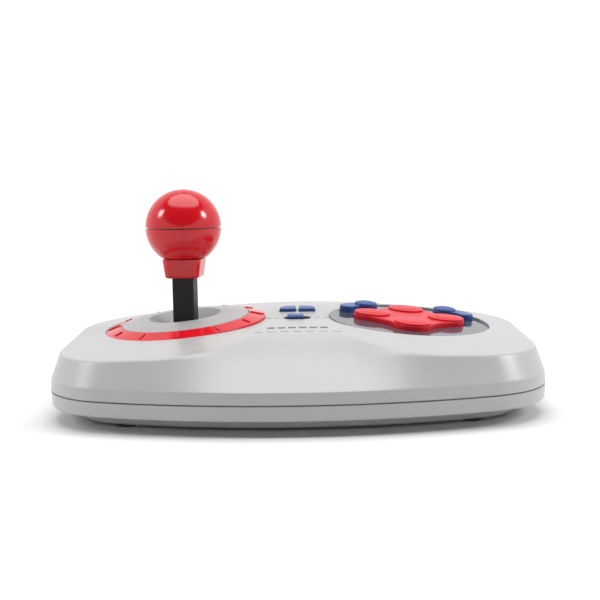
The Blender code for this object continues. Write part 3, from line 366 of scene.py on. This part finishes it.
def case_outline(fine):
    """The plan at the parting line, anticlockwise, as (x, y, normal x, normal y)."""
    corner_x, reach = HALF_WIDTH - FRONT_CORNER_R, FRONT_ARC_R - FRONT_CORNER_R
    corner_y = FRONT_Y + FRONT_ARC_R - sqrt(reach**2 - corner_x**2)
    front = asin(corner_x / reach)
    back_x, back_reach = HALF_WIDTH - BACK_CORNER_R, BACK_ARC_R - BACK_CORNER_R
    back_y = BACK_Y - BACK_ARC_R + sqrt(back_reach**2 - back_x**2)
    back = asin(back_x / back_reach)
    sides = 6 * fine
    side = [(HALF_WIDTH, corner_y + (back_y - corner_y) * i / sides, 1.0, 0.0) for i in range(sides)]
    other_side = [(-HALF_WIDTH, back_y, -1.0, 0.0)]
    other_side += [(-HALF_WIDTH, y, -1.0, 0.0) for _, y, _, _ in side[:0:-1]]
    quarter = pi / 2
    return (
        arc(0, FRONT_Y + FRONT_ARC_R, FRONT_ARC_R, -quarter - front, -quarter + front, 30 * fine)
        + arc(corner_x, corner_y, FRONT_CORNER_R, -quarter + front, 0, 10 * fine)
        + side
        + arc(back_x, back_y, BACK_CORNER_R, 0, quarter - back, 8 * fine)
        + arc(0, BACK_Y - BACK_ARC_R, BACK_ARC_R, quarter - back, quarter + back, 14 * fine)
        + arc(-back_x, back_y, BACK_CORNER_R, quarter + back, pi, 8 * fine)
        + other_side
        + arc(-corner_x, corner_y, FRONT_CORNER_R, pi, pi + quarter - front, 10 * fine)
    )


def face_character(x, y, ny):
    """The steepness of the face under an outline point, and how softly it meets the deck."""
    steep = SIDE_STEEP + (BACK_STEEP - SIDE_STEEP) * smoothstep(0.0, 1.0, ny)
    soft = SOFT_EDGE
    if ny < 0:
        steep = SCOOP_STEEP + (FRONT_STEEP - SCOOP_STEEP) * smoothstep(SCOOP_HALF, SCOOP_END, abs(x))
        steep += (SIDE_STEEP - FRONT_STEEP) * smoothstep(-0.7, 0.0, ny)
        soft += (SOFT_SCOOP - SOFT_EDGE) * (1 - smoothstep(SCOOP_HALF, SCOOP_END, abs(x) * 1.3))
    soft += (SOFT_SIDE - SOFT_EDGE) * smoothstep(-26, 14, y) * (1 - smoothstep(0.0, 0.7, ny))
    soft += (SOFT_BACK - SOFT_EDGE) * smoothstep(0.0, 0.7, ny)
    return steep, soft


def soft_min(a, b, soft):
    blend = min(1.0, max(0.0, 0.5 + 0.5 * (b - a) / soft))
    return b + (a - b) * blend - soft * blend * (1 - blend)


def skin(outline, inset, drop, face_drop, up_face, over_deck, spread):
    """Loops from the middle of the deck out to the band, for the outer or the inner skin."""
    columns = []
    for x, y, nx, ny in outline:
        steep, soft = face_character(x, y, ny)

        def at(depth):
            px, py = x - nx * (inset + depth), y - ny * (inset + depth)
            face = BAND_TOP_Z - face_drop + steep * (depth - BAND_DRAFT)
            return px, py, face, deck_height(px, py) - drop

        near, far = BAND_DRAFT, 60.0
        for _ in range(30):
            half = (near + far) / 2
            _, _, face, deck = at(half)
            near, far = (half, far) if face < deck else (near, half)
        depths = [BAND_DRAFT + (near - BAND_DRAFT) * share for share in up_face]
        depths += [near + step for step in over_deck]
        column = []
        for depth in depths:
            px, py, face, deck = at(depth)
            column.append((px, py, face if depth == BAND_DRAFT else soft_min(face, deck, soft)))
        columns.append(column)
    centre_y = (FRONT_Y + BACK_Y) / 2
    loops = [[(0, centre_y, deck_height(0, centre_y) - drop)]]
    for share in spread:
        ring = [(c[-1][0] * share, centre_y + (c[-1][1] - centre_y) * share) for c in columns]
        loops.append([(px, py, deck_height(px, py) - drop) for px, py in ring])
    for stage in reversed(range(len(columns[0]))):
        loops.append([column[stage] for column in columns])
    return loops


def loop_at(outline, inset, z):
    return [(x - nx * inset, y - ny * inset, z) for x, y, nx, ny in outline]


def make_top_shell():
    outline = case_outline(4)
    up_face = [i / 26 for i in range(27)]
    over_deck = [0.25, 0.5, 0.8, 1.2, 1.7, 2.4, 3.2, 4.2, 5.5, 7, 9, 11, 13, 15, 17.5, 20]
    spread = [i / 14 for i in range(1, 14)]
    loops = skin(outline, 0, 0, 0, up_face, over_deck, spread)
    loops += [loop_at(outline, d, z) for d, z in ((0.3, 21.05), (0.02, 16.0), (0.08, 15.7), (0.25, RIM_Z))]
    loops += [loop_at(outline, WALL, RIM_Z)]
    inner = skin(outline, WALL, WALL, 1.2, [0, 0.5, 1.0], [4, 20], [0.5])
    shell = Form().loft(loops + inner[::-1]).build("case_top", SHELL)

    wells = {
        "stick_well": Form(LEFT).revolve(rod(RING_R + 0.22, -9, 12), 144),
        "button_well": Form(RIGHT).revolve(rod(PLATE_R + 0.2, -9, 12), 144),
    }
    flank_well = stadium(FLANK_PAD_HALF + GAP, FLANK_PAD_R + GAP, 0)
    for side in (-1, 1):
        moon = grown(half_moon(side), MOON_CLEAR)
        wells[f"moon_well_{side}"] = Form(CENTRE).slab(moon, -6, 6, 0)
        wells[f"flank_well_{side}"] = Form(flank_frame(side)).slab(flank_well, FLANK_PAD_SEAT - GAP, 4, 0)
    wells["slot_well"] = Form(CENTRE).slab(stadium(SLOT_HALF, SLOT_R, SLOT_Y), -6, 6, 0)
    wells["gland_well"] = Form(gland_frame()).revolve(rod(GLAND_R + 0.25, -6, 20))
    cutters = [form.build(name, SHELL) for name, form in wells.items()]
    return fit(carve(shell, *cutters), "body", "shell_grey", "top_shell")


def make_bottom_shell():
    outline = case_outline(4)
    foot = PLINTH_INSET + 0.6

    def round_edge(inset, z, radius, steps):
        turns = [i * pi / 2 / steps for i in range(steps + 1)]
        return [(inset + radius * (1 - sin(a)), z + radius * (1 - cos(a))) for a in turns]

    profile = round_edge(foot, PLINTH_Z, PLINTH_ROUND, 6)
    profile += [(PLINTH_INSET, TRAY_Z - 0.5), (PLINTH_INSET - 0.5, TRAY_Z)]
    profile += round_edge(0.5, TRAY_Z, TRAY_ROUND, 7)
    profile += [(0.02, TRAY_RIM_Z - 0.5), (0.08, TRAY_RIM_Z - 0.2), (0.25, TRAY_RIM_Z)]
    lip, lip_top, floor_top = WALL + GAP, 17.4, PLINTH_Z + 2.8
    profile += [(lip, TRAY_RIM_Z), (lip, lip_top - 0.3), (lip + 0.3, lip_top), (lip + 1.2, lip_top)]
    profile += [(lip + 1.2, TRAY_Z + WALL), (PLINTH_INSET + WALL, TRAY_Z + WALL)]
    profile += [(foot + PLINTH_ROUND + 1, floor_top)]
    loops = [[(0, 0, PLINTH_Z)]] + [loop_at(outline, d, z) for d, z in profile] + [[(0, 0, floor_top)]]
    shell = Form().loft(loops).build("case_bottom", SHELL)
    cutters = []
    for name, node, count, bore, steps in (
        ("counterbore", "case_screw", 5, rod(COUNTERBORE_R, -2, COUNTERBORE_TOP), 48),
        ("foot_well", "rubber_foot", 4, rod(FOOT_R + GAP, -2, FOOT_WELL_TOP), 64),
    ):
        for i in range(1, count + 1):
            spot = middle(f"{node}_{i}")
            well = Form().revolve(bore, steps, at=(spot.x, spot.y))
            cutters.append(well.build(f"{name}_{i}", SHELL))
    return fit(carve(shell, *cutters), "body", "shell_grey", "bottom_shell")


def make_underside():
    """Rubber feet with a soft edge, and dished case screws with a cross recess."""
    for i in range(1, 5):
        spot, (low, high) = middle(f"rubber_foot_{i}"), extent(f"rubber_foot_{i}")
        corners = [(0, low.z, 0), (FOOT_R, low.z, 0.6), (FOOT_R, high.z, 0), (0, high.z, 0)]
        foot = Form().revolve(rounded(corners, closed=False), 64, at=(spot.x, spot.y))
        fit(foot.build(f"foot_{i}", RUBBER_AND_PAINTED_SHADE), "body", "dark_rubber", f"rubber_foot_{i}")
    for i in range(1, 6):
        spot, (low, high) = middle(f"case_screw_{i}"), extent(f"case_screw_{i}")
        seat, thread_r = low.z + SCREW_HEAD_T, 1.4
        corners = [(0, low.z, 0), (SCREW_HEAD_R, low.z, 0.7), (SCREW_HEAD_R, seat, 0)]
        corners += [(thread_r, seat, 0.2), (thread_r, high.z - 1, 0), (0, high.z, 0)]
        screw = Form().revolve(rounded(corners, closed=False), 40, at=(spot.x, spot.y))
        screw = screw.build(f"screw_{i}", STEEL)
        cross = []
        for turn in (0.0, pi / 2):
            place = Matrix.Translation(spot * MM) @ Matrix.Rotation(turn + 0.6 * i, 4, "Z")
            slot = Form(place).slab(oblong(1.9, 0.35), low.z - 1 - spot.z, low.z + 1.2 - spot.z, 0)
            cross.append(slot.build(f"cross_{i}_{turn:.0f}", STEEL))
        fit(carve(screw, *cross), "body", "steel", f"case_screw_{i}")


def stadium(half, radius, y):
    """A slot shape lying along X."""
    right = arc(half - radius, y, radius, -pi / 2, pi / 2, 20)
    left = arc(radius - half, y, radius, pi / 2, 3 * pi / 2, 20)
    ends = [(half - radius, y + radius), (radius - half, y - radius)]
    return [p[:2] for p in right] + ends[:1] + [p[:2] for p in left] + ends[1:]


def flank_frame(side):
    """A frame on the flank at its pad: Z along the face's normal."""
    spot = middle("side_pad_right" if side > 0 else "side_pad_left")
    slant = Vector((side * sin(atan2(SIDE_STEEP, 1)), 0, cos(atan2(SIDE_STEEP, 1))))
    along = Vector((0, side, 0))
    turn = Matrix((along, slant.cross(along), slant)).transposed().to_4x4()
    x = side * (HALF_WIDTH - BAND_DRAFT - (spot.z - BAND_TOP_Z) / SIDE_STEEP)
    return Matrix.Translation(Vector((x, spot.y, spot.z)) * MM) @ turn


# The flank pads get the near-black rubber colour as painted shade: it stands in for the shade on the
# front-facing end of a bump in the shell's own grey plastic.
def make_flank_pads():
    outline = stadium(FLANK_PAD_HALF, FLANK_PAD_R, 0)
    for side, name in ((-1, "left"), (1, "right")):
        pad = Form(flank_frame(side)).slab(outline, FLANK_PAD_SEAT, FLANK_PAD_RISE, 0.5)
        fit(pad.build(f"flank_pad_{name}", RUBBER_AND_PAINTED_SHADE, 50), "body", "dark_rubber", f"side_pad_{name}")


def gland_frame():
    low, centre = extent("cable_gland")[0], middle("cable_gland")
    turn = Matrix.Rotation(-pi / 2, 4, "X")
    return Matrix.Translation(Vector((centre.x, low.y, centre.z)) * MM) @ turn


def make_gland():
    """The cord's outlet: a flange inside, and a ribbed snout outside."""
    flange_r, flange_t, groove_r, groove_wide = 6.8, 2, 4.5, 0.8
    corners = [(GLAND_BORE_R, 0, 0.2), (flange_r, 0, 0.3), (flange_r, flange_t, 0.3)]
    corners += [(GLAND_R, flange_t, 0.2)]
    for i in range(3):
        start = 8.6 + i * 1.7
        groove = [(GLAND_R, start), (groove_r, start), (groove_r, start + groove_wide)]
        groove += [(GLAND_R, start + groove_wide)]
        corners += [(r, along, 0.15) for r, along in groove]
    corners += [(GLAND_R, GLAND_LENGTH, 0.5), (GLAND_BORE_R, GLAND_LENGTH, 0.6)]
    gland = Form(gland_frame()).revolve(rounded(corners, steps=3), 64, closed=True)
    fit(gland.build("cord_gland", BLACK), "body", "black_plastic", "cable_gland")


# ---------------------------------------------------------------- stick


def make_ring():
    """A sloping ring with twelve raised marks, every third one larger."""
    corners = [(RING_INNER_R, RING_RISE, 0.25), (RING_R, 0, 0.3), (RING_R, SEAT, 0), (RING_INNER_R, SEAT, 0)]
    ring = Form(LEFT).revolve(rounded(corners), 180, closed=True)
    slant = atan2(RING_RISE, RING_R - RING_INNER_R)
    centre_r = (RING_R + RING_INNER_R) / 2
    for i in range(12):
        length, width = (7.4, 1.3) if i % 3 == 0 else (4.6, 1.1)
        lift = Matrix.Translation(Vector((centre_r, 0, RING_RISE / 2)) * MM)
        ring.place = LEFT @ Matrix.Rotation(i * pi / 6, 4, "Z") @ lift @ Matrix.Rotation(slant, 4, "Y")
        ring.slab(oblong(length / 2, width / 2, radius=0.35, steps=3), -0.5, 0.6, 0.2, steps=3)
    return fit(ring.build("marked_ring", RING_RED), "body", "red_gloss", "stick_ring")


def make_disc():
    """A low dome with a dish in its middle, and a skirt underneath that locates it."""
    edge, skirt, skirt_end = RING_INNER_R - GAP, (28.7, 30.7), -5
    over = [(STICK_HOLE_R, DISH_FLOOR, 0.3), (STICK_HOLE_R + 2.4, DISH_FLOOR + 0.3, 1.5)]
    over += [(DISH_R - 0.4, DISH_TOP, 0.9), ((DISH_R + edge) / 2, DISH_TOP - 0.6, 12), (edge, RING_RISE, 0.3)]
    under = [(edge, SEAT), (skirt[1], SEAT), (skirt[1], skirt_end), (skirt[0], skirt_end), (skirt[0], 0.6)]
    under += [(DISH_R + 0.3, DISH_TOP - 2.2), (DISH_R - 1.4, DISH_TOP - 4.4)]
    under += [(STICK_HOLE_R + 2, DISH_FLOOR - 1.8), (STICK_HOLE_R, DISH_FLOOR - 2)]
    corners = over + [(r, z, 0) for r, z in under]
    disc = Form(LEFT).revolve(rounded(corners, steps=8), 144, closed=True)
    return fit(disc.build("stick_dish", DISC), "body", "disc_grey", "stick_disc")


def turned(outline, angle):
    return [(x * cos(angle) - y * sin(angle), x * sin(angle) + y * cos(angle)) for x, y in outline]


def square(half, radius, steps=5):
    """The stick's square section, turned a little about its own axis."""
    corners = [(half, -half, radius), (half, half, radius), (-half, half, radius), (-half, -half, radius)]
    return turned(rounded(corners, steps=steps), SHAFT_TURN)


def make_shaft(collar_top):
    """A square bar on a round pin, which carries on above it into the ball."""
    low, high = extent("stick_shaft")
    shaft = Form(STICK).slab(square(SHAFT_HALF, 0.9), SHAFT_PIN_TOP - 0.6, collar_top - 0.4, 0.3)
    groove_low, groove_high = SHAFT_GROOVE
    pin = [(0, low.z), (SHAFT_PIN_R, low.z), (SHAFT_PIN_R, groove_low), (SHAFT_GROOVE_R, groove_low)]
    pin += [(SHAFT_GROOVE_R, groove_high), (SHAFT_PIN_R, groove_high)]
    pin += [(SHAFT_PIN_R, SHAFT_PIN_TOP), (0, SHAFT_PIN_TOP)]
    shaft.revolve(pin, 40)
    tip = [(0, collar_top - 2), (SHAFT_PIN_R, collar_top - 2), (SHAFT_PIN_R, high.z - 1), (0, high.z)]
    shaft.revolve(tip, 40)
    fit(shaft.build("shaft", BLACK), "stick", "black_plastic", "stick_shaft")


def make_collar(collar_low, collar_high):
    """A square collar that widens upwards, with cut corners and a soft edge at both ends."""
    collar, steps = [], 6
    cut_low, cut_high, edge = 3.0, 4.6, 0.5
    stages = [(0, edge), (0.03, 0.15), (0.06, 0)] + [(i / steps, 0) for i in range(1, steps)]
    for share, inset in stages + [(0.97, 0.1), (1, edge)]:
        half = COLLAR_HALF + (COLLAR_TOP_HALF - COLLAR_HALF) * share - inset
        z = collar_low.z + (collar_high.z - collar_low.z) * share
        radius = cut_low + (cut_high - cut_low) * share
        collar.append([(x, y, z) for x, y in square(half, radius, 7)])
    bore = square(SHAFT_HALF + GAP, 1.0, 7)
    collar += [[(x, y, z) for x, y in bore] for z in (collar_high.z, collar_low.z)]
    fit(Form(STICK).loft(collar, closed=True).build("collar", RED, 45), "stick", "red_gloss", "stick_collar")


def make_ball():
    """Two hollow halves that meet at a seam, with a shallow rebate behind it."""
    base_z = extent("ball_lower")[0].z
    upper_low, upper_high = extent("ball_upper")
    ball_r = (upper_high.x - upper_low.x) / 2
    ball_z = upper_high.z - ball_r

    def sphere(start, end, count):
        turn = [start + (end - start) * i / count for i in range(count + 1)]
        return [(ball_r * cos(a), ball_z + ball_r * sin(a)) for a in turn]

    seam, base = 0.022, asin((base_z - ball_z) / ball_r)
    bore_r, rebate_r, face, rebate = SHAFT_PIN_R + GAP, ball_r - 0.9, 0.17, 0.35
    lower = sphere(base, -seam, 40) + [(rebate_r, ball_z - rebate), (rebate_r, ball_z - face)]
    lower += [(bore_r, ball_z - face), (bore_r, base_z)]
    half = Form(STICK).revolve(lower, 96, closed=True).build("ball_bottom_half", RED)
    fit(half, "stick", "red_gloss", "ball_lower")
    upper = [(0, ball_z + 9), (bore_r, ball_z + 9), (bore_r, ball_z + face)]
    upper += [(rebate_r, ball_z + face), (rebate_r, ball_z + rebate)]
    upper += sphere(seam, pi / 2, 48)[:-1] + [(0, ball_z + ball_r)]
    half = Form(STICK).revolve(upper, 96).build("ball_top_half", RED)
    fit(half, "stick", "red_gloss", "ball_upper")


def make_stick():
    collar_low, collar_high = extent("stick_collar")
    make_shaft(collar_high.z)
    make_collar(collar_low, collar_high)
    make_ball()


# ---------------------------------------------------------------- buttons


def lobed(grow=0.0):
    """Four round lobes joined by hollow arcs."""
    half = sqrt(0.5)
    bridge = (LOBE_AT**2 - (LOBE_R - NOTCH_R) ** 2) / (2 * (LOBE_R - NOTCH_R) + LOBE_AT * half * 2)
    touch = atan2(bridge * half, bridge * half - LOBE_AT)
    points = []
    for i in range(4):
        a, b = i * pi / 2, i * pi / 2 + pi / 4
        points += arc(LOBE_AT * cos(a), LOBE_AT * sin(a), LOBE_R + grow, a - touch, a + touch, 30)
        start, end = a + touch + pi, b * 2 - (a + touch) + pi
        points += arc(bridge * cos(b), bridge * sin(b), bridge - NOTCH_R - grow, start, end, 16)
    return [p[:2] for p in points]


def bean_outline(side, grow=0.0, count=24):
    """A shoulder button's plan: a round head and a narrower arm that curves about the pad."""
    head_r, head_a = hypot(*BEAN_HEAD), atan2(BEAN_HEAD[1], BEAN_HEAD[0])
    outer, inner = [], []
    for i in range(count + 1):
        share = i / count
        bend = smoothstep(0, 0.8, share)
        a = head_a + (BEAN_END - head_a) * share
        r = head_r + (BEAN_ARM_R - head_r) * bend
        half = BEAN_HEAD_R + (BEAN_ARM_HALF - BEAN_HEAD_R) * bend + grow
        outer.append(((r + half) * cos(a), (r + half) * sin(a)))
        inner.append(((r - half) * cos(a), (r - half) * sin(a)))
    end_x, end_y = BEAN_ARM_R * cos(BEAN_END), BEAN_ARM_R * sin(BEAN_END)
    tip = arc(end_x, end_y, BEAN_ARM_HALF + grow, BEAN_END, BEAN_END - pi, 18)[1:]
    cap = arc(*BEAN_HEAD, BEAN_HEAD_R + grow, head_a + pi, head_a, 26)[1:]
    points = outer + [p[:2] for p in tip] + inner[::-1] + [p[:2] for p in cap]
    return [(side * x, y) for x, y in points]


def half_moon(side):
    """A block with a flat inner side and a widely rounded back corner."""
    near, far, front, back = HALF_MOON
    corners = [(near, back, 0.5), (near, front, 0.4), (far, front, 1.4), (far, back, 6.2)]
    return [(side * x, y) for x, y in rounded(corners, steps=10)]


def make_pad():
    """The lobed web with a stepped dome and a stem on each lobe, and the hub that it rocks on."""
    pad = Form(RIGHT).slab(lobed(), PAD_UNDER, PAD_WEB, 0.7)
    for i in range(4):
        at = (LOBE_AT * cos(i * pi / 2), LOBE_AT * sin(i * pi / 2))
        r = LOBE_R - 0.3
        corners = [(0, PAD_WEB - 1.5, 0), (r - 0.1, PAD_WEB - 1.5, 0), (r, PAD_STEP, 0.25)]
        corners += [(r * 0.55, PAD_TOP - 0.12, 8), (0, PAD_TOP, 0)]
        pad.revolve(rounded(corners, closed=False, steps=7), 72, at=at)
        pad.revolve(rod(STEM_R, STEM_END, PAD_UNDER + 0.5), 32, at=at)
    pad.slab(oblong(3.5, 3.5), -8, PAD_UNDER + 0.5, 0)
    return fit(pad.build("four_way_pad", PAD_RED), "fire_pad", "red_satin", "fire_pad")


def make_shoulders():
    for side, name in ((-1, "left"), (1, "right")):
        form = Form(RIGHT).slab(bean_outline(side), -5.8, BEAN_BASE, 0.7)
        at, r = (side * BEAN_HEAD[0], BEAN_HEAD[1]), BEAN_HEAD_R - 0.15
        low = BEAN_BASE - 1.0
        corners = [(0, low, 0), (r, low, 0), (r, BEAN_TOP - 0.9, 0.9)]
        corners += [(r * 0.5, BEAN_TOP - 0.15, 5), (0, BEAN_TOP, 0)]
        form.revolve(rounded(corners, closed=False, steps=7), 64, at=at)
        form.slab(bean_outline(side, 1.0), -6.5, -5.5, 0)
        form.revolve(rod(STEM_R, STEM_END, -6), 32, at=at)
        piece = form.build(f"shoulder_{name}_cap", BLUE)
        fit(piece, f"shoulder_{name}", "blue_satin", f"shoulder_button_{name}")


def make_plate():
    corners = [(0, PLATE_LOW, 0), (PLATE_R, PLATE_LOW, 0), (PLATE_R, PLATE_TOP, 0.15), (0, PLATE_TOP, 0)]
    plate = Form(RIGHT).revolve(rounded(corners, closed=False), 144).build("well_floor", PLATE)
    windows = {"pad_window": lobed(PAD_CLEAR)}
    windows |= {f"bean_window_{side}": bean_outline(side, BEAN_CLEAR) for side in (-1, 1)}
    cutters = [Form(RIGHT).slab(outline, -4, 2, 0).build(name, PLATE) for name, outline in windows.items()]
    return fit(carve(plate, *cutters), "body", "plate_grey", "button_plate")


def make_centre():
    """The two half-moon buttons and the slide switch's ribbed knob."""
    near, far, front, back = HALF_MOON
    for side, node, body in ((-1, "select_button", "select"), (1, "start_button", "start")):
        outline = half_moon(side)
        form = Form(CENTRE).slab(outline, -4.5, HALF_MOON_TOP, 0.6)
        form.slab(grown(outline, 0.8), -5.4, -4.4, 0)
        at = (side * (near + far) / 2, (front + back) / 2)
        form.revolve(rod(MOON_STEM_R, STEM_END, -5), 32, at=at)
        fit(form.build(f"{body}_cap", BLUE), body, "blue_satin", node)

    knob, deep = Form(CENTRE), KNOB_DEEP / 2
    block = oblong(KNOB_HALF, deep, (KNOB_X, SLOT_Y), radius=0.8)
    knob.slab(block, KNOB_LOW, KNOB_TOP - 0.4, 0.45)
    ribs, pitch = 6, 1.3
    for i in range(ribs):
        x = KNOB_X + (i - (ribs - 1) / 2) * pitch
        rib = oblong(0.36, deep - 0.7, (x, SLOT_Y), radius=0.3, steps=3)
        knob.slab(rib, 0.9, KNOB_TOP, 0.3, steps=4)
    knob.slab(oblong(1.5, 1.2, (KNOB_X, SLOT_Y)), -6.6, KNOB_LOW + 0.4, 0)
    fit(knob.build("slider_cap", BLUE), "slider", "blue_satin", "slide_knob")


def make_print():
    """Plain bars where the deck is printed. They say nothing and copy no mark."""
    form = Form()

    def bar(x, y, wide, tall):
        steps, loops = 4, []
        for lift in (-0.05, 0.035):
            xs = [x - wide / 2 + wide * i / steps for i in range(steps + 1)]
            ring = [(px, y - tall / 2) for px in xs] + [(px, y + tall / 2) for px in reversed(xs)]
            loops.append([(px, py, deck_height(px, py) + lift) for px, py in ring])
        form.loft(loops)

    for i in range(6):
        bar((i - 2.5) * 5.4, ROUND_Y - 32.3, 4.0, 3.4)
    for i in range(7):
        bar((i - 3) * 6.6, ROUND_Y - 42.0, 4.4, 0.9)
    for side in (-1, 1):
        for x in (10.8, 15.4, 20.0):
            bar(side * x, ROUND_Y + SLOT_Y - 0.3, 2.8, 0.7)
    fit(form.build("deck_print", INK), "body", "black_plastic")


# ---------------------------------------------------------------- nodes kept from CAD


def dress_kept_nodes():
    """Gives every CAD node that no piece replaces the look of its material slot."""
    looks = {
        "steel": STEEL, "black_plastic": BLACK, "dark_rubber": RUBBER_AND_PAINTED_SHADE, "silicone": SILICONE,
        "board_green": BOARD, "shell_grey": SHELL, "disc_grey": DISC, "plate_grey": PLATE,
        "red_gloss": RED, "red_satin": PAD_RED, "blue_satin": BLUE,
    }
    slots = {s["node"]: s["material_slot"] for s in frame["record"]["subparts"]}
    for name, node in frame["nodes"].items():
        node.data.materials.clear()
        node.data.materials.append(looks[slots[name]])


# ---------------------------------------------------------------- stage, light and camera

SWEEP_GLOW, WORLD_GLOW = 0.76, 0.06
LENS_MM, SENSOR_MM = 67.2, 36.0
CAMERA_AT, CAMERA_PITCH, CAMERA_ROLL = (1.58, -581.0, 124.8), radians(83.1), radians(-0.94)


def make_stage():
    """A pale round floor inside a bright paper sweep, which starts nearest and rises highest at the back."""
    floor = plastic("pale_floor", (0.76, 0.76, 0.76), 0.75, tint=0.01, scale=300.0, specular=0.1)
    sweep = plastic("paper_sweep", (0.3, 0.3, 0.3), 0.9, tint=0.01, scale=300.0, specular=0.0)
    glow = sweep.node_tree.nodes["Principled BSDF"]
    glow.inputs["Emission Color"].default_value = (1, 1, 1, 1)
    glow.inputs["Emission Strength"].default_value = SWEEP_GLOW
    steps, reach, rise = 64, 1.2, 0.8  # metres to the foot of the curve, and its radius
    turns = [2 * pi * i / steps for i in range(steps)]
    rows = [[(0.5 - 0.25 * sin(a), 0.0) for a in turns], [(reach, 0.0)] * steps]
    for b in (i * pi / 24 for i in range(1, 13)):
        rows.append([(reach + rise * sin(b), rise * (1 - cos(b)) * (0.65 + 0.35 * sin(a))) for a in turns])
    rows.append([(reach + rise, 1.65 + 1.35 * sin(a)) for a in turns])
    points = [(r * cos(a), r * sin(a), z) for row in rows for a, (r, z) in zip(turns, row)]
    faces = [tuple(range(steps))]
    for k in range(len(rows) - 1):
        for i in range(steps):
            j = (i + 1) % steps
            faces.append((k * steps + j, k * steps + i, (k + 1) * steps + i, (k + 1) * steps + j))
    mesh = bpy.data.meshes.new("cove")
    mesh.from_pydata(points, [], faces)
    mesh.shade_smooth()
    mesh.materials.append(floor)
    mesh.materials.append(sweep)
    for i, face in enumerate(mesh.polygons):
        face.material_index = min(i, 1)
    cove = bpy.data.objects.new("cove", mesh)
    bpy.context.scene.collection.objects.link(cove)


def area_light(name, at, towards, size, power):
    light = bpy.data.lights.new(name, "AREA")
    light.shape, light.energy = "ELLIPSE", power
    light.size, light.size_y = size
    made = bpy.data.objects.new(name, light)
    made.location = at
    made.rotation_euler = (Vector(towards) - Vector(at)).to_track_quat("-Z", "Y").to_euler()
    bpy.context.scene.collection.objects.link(made)


def make_light_and_camera():
    scene = bpy.context.scene
    world = bpy.data.worlds.new("studio")
    world.use_nodes = True
    world.node_tree.nodes["Background"].inputs["Color"].default_value = (1, 1, 1, 1)
    world.node_tree.nodes["Background"].inputs["Strength"].default_value = WORLD_GLOW
    scene.world = world
    area_light("overhead", (0.0, 0.1, 1.4), (0, 0.05, 0.03), (1.7, 1.4), 20.5)
    area_light("corner_left", (-1.2, -0.16, 0.85), (-0.06, 0, 0.04), (0.36, 0.42), 5.5)
    area_light("corner_right", (1.2, -0.16, 0.85), (0.06, 0, 0.04), (0.36, 0.42), 8.0)

    camera = bpy.data.cameras.new("camera")
    camera.lens, camera.sensor_width = LENS_MM, SENSOR_MM
    camera.clip_start, camera.clip_end = 0.01, 20.0
    made = bpy.data.objects.new("camera", camera)
    turn = Matrix.Rotation(CAMERA_PITCH, 4, "X") @ Matrix.Rotation(CAMERA_ROLL, 4, "Z")
    made.matrix_world = Matrix.Translation(Vector(CAMERA_AT) * MM) @ turn
    scene.collection.objects.link(made)
    scene.camera = made
    scene.view_settings.view_transform = "Standard"


# ---------------------------------------------------------------- whole scene

make_light_and_camera()
dress_kept_nodes()
make_top_shell()
make_bottom_shell()
make_underside()
make_flank_pads()
make_gland()
make_ring()
make_disc()
make_stick()
make_plate()
make_pad()
make_shoulders()
make_centre()
make_print()
make_stage()
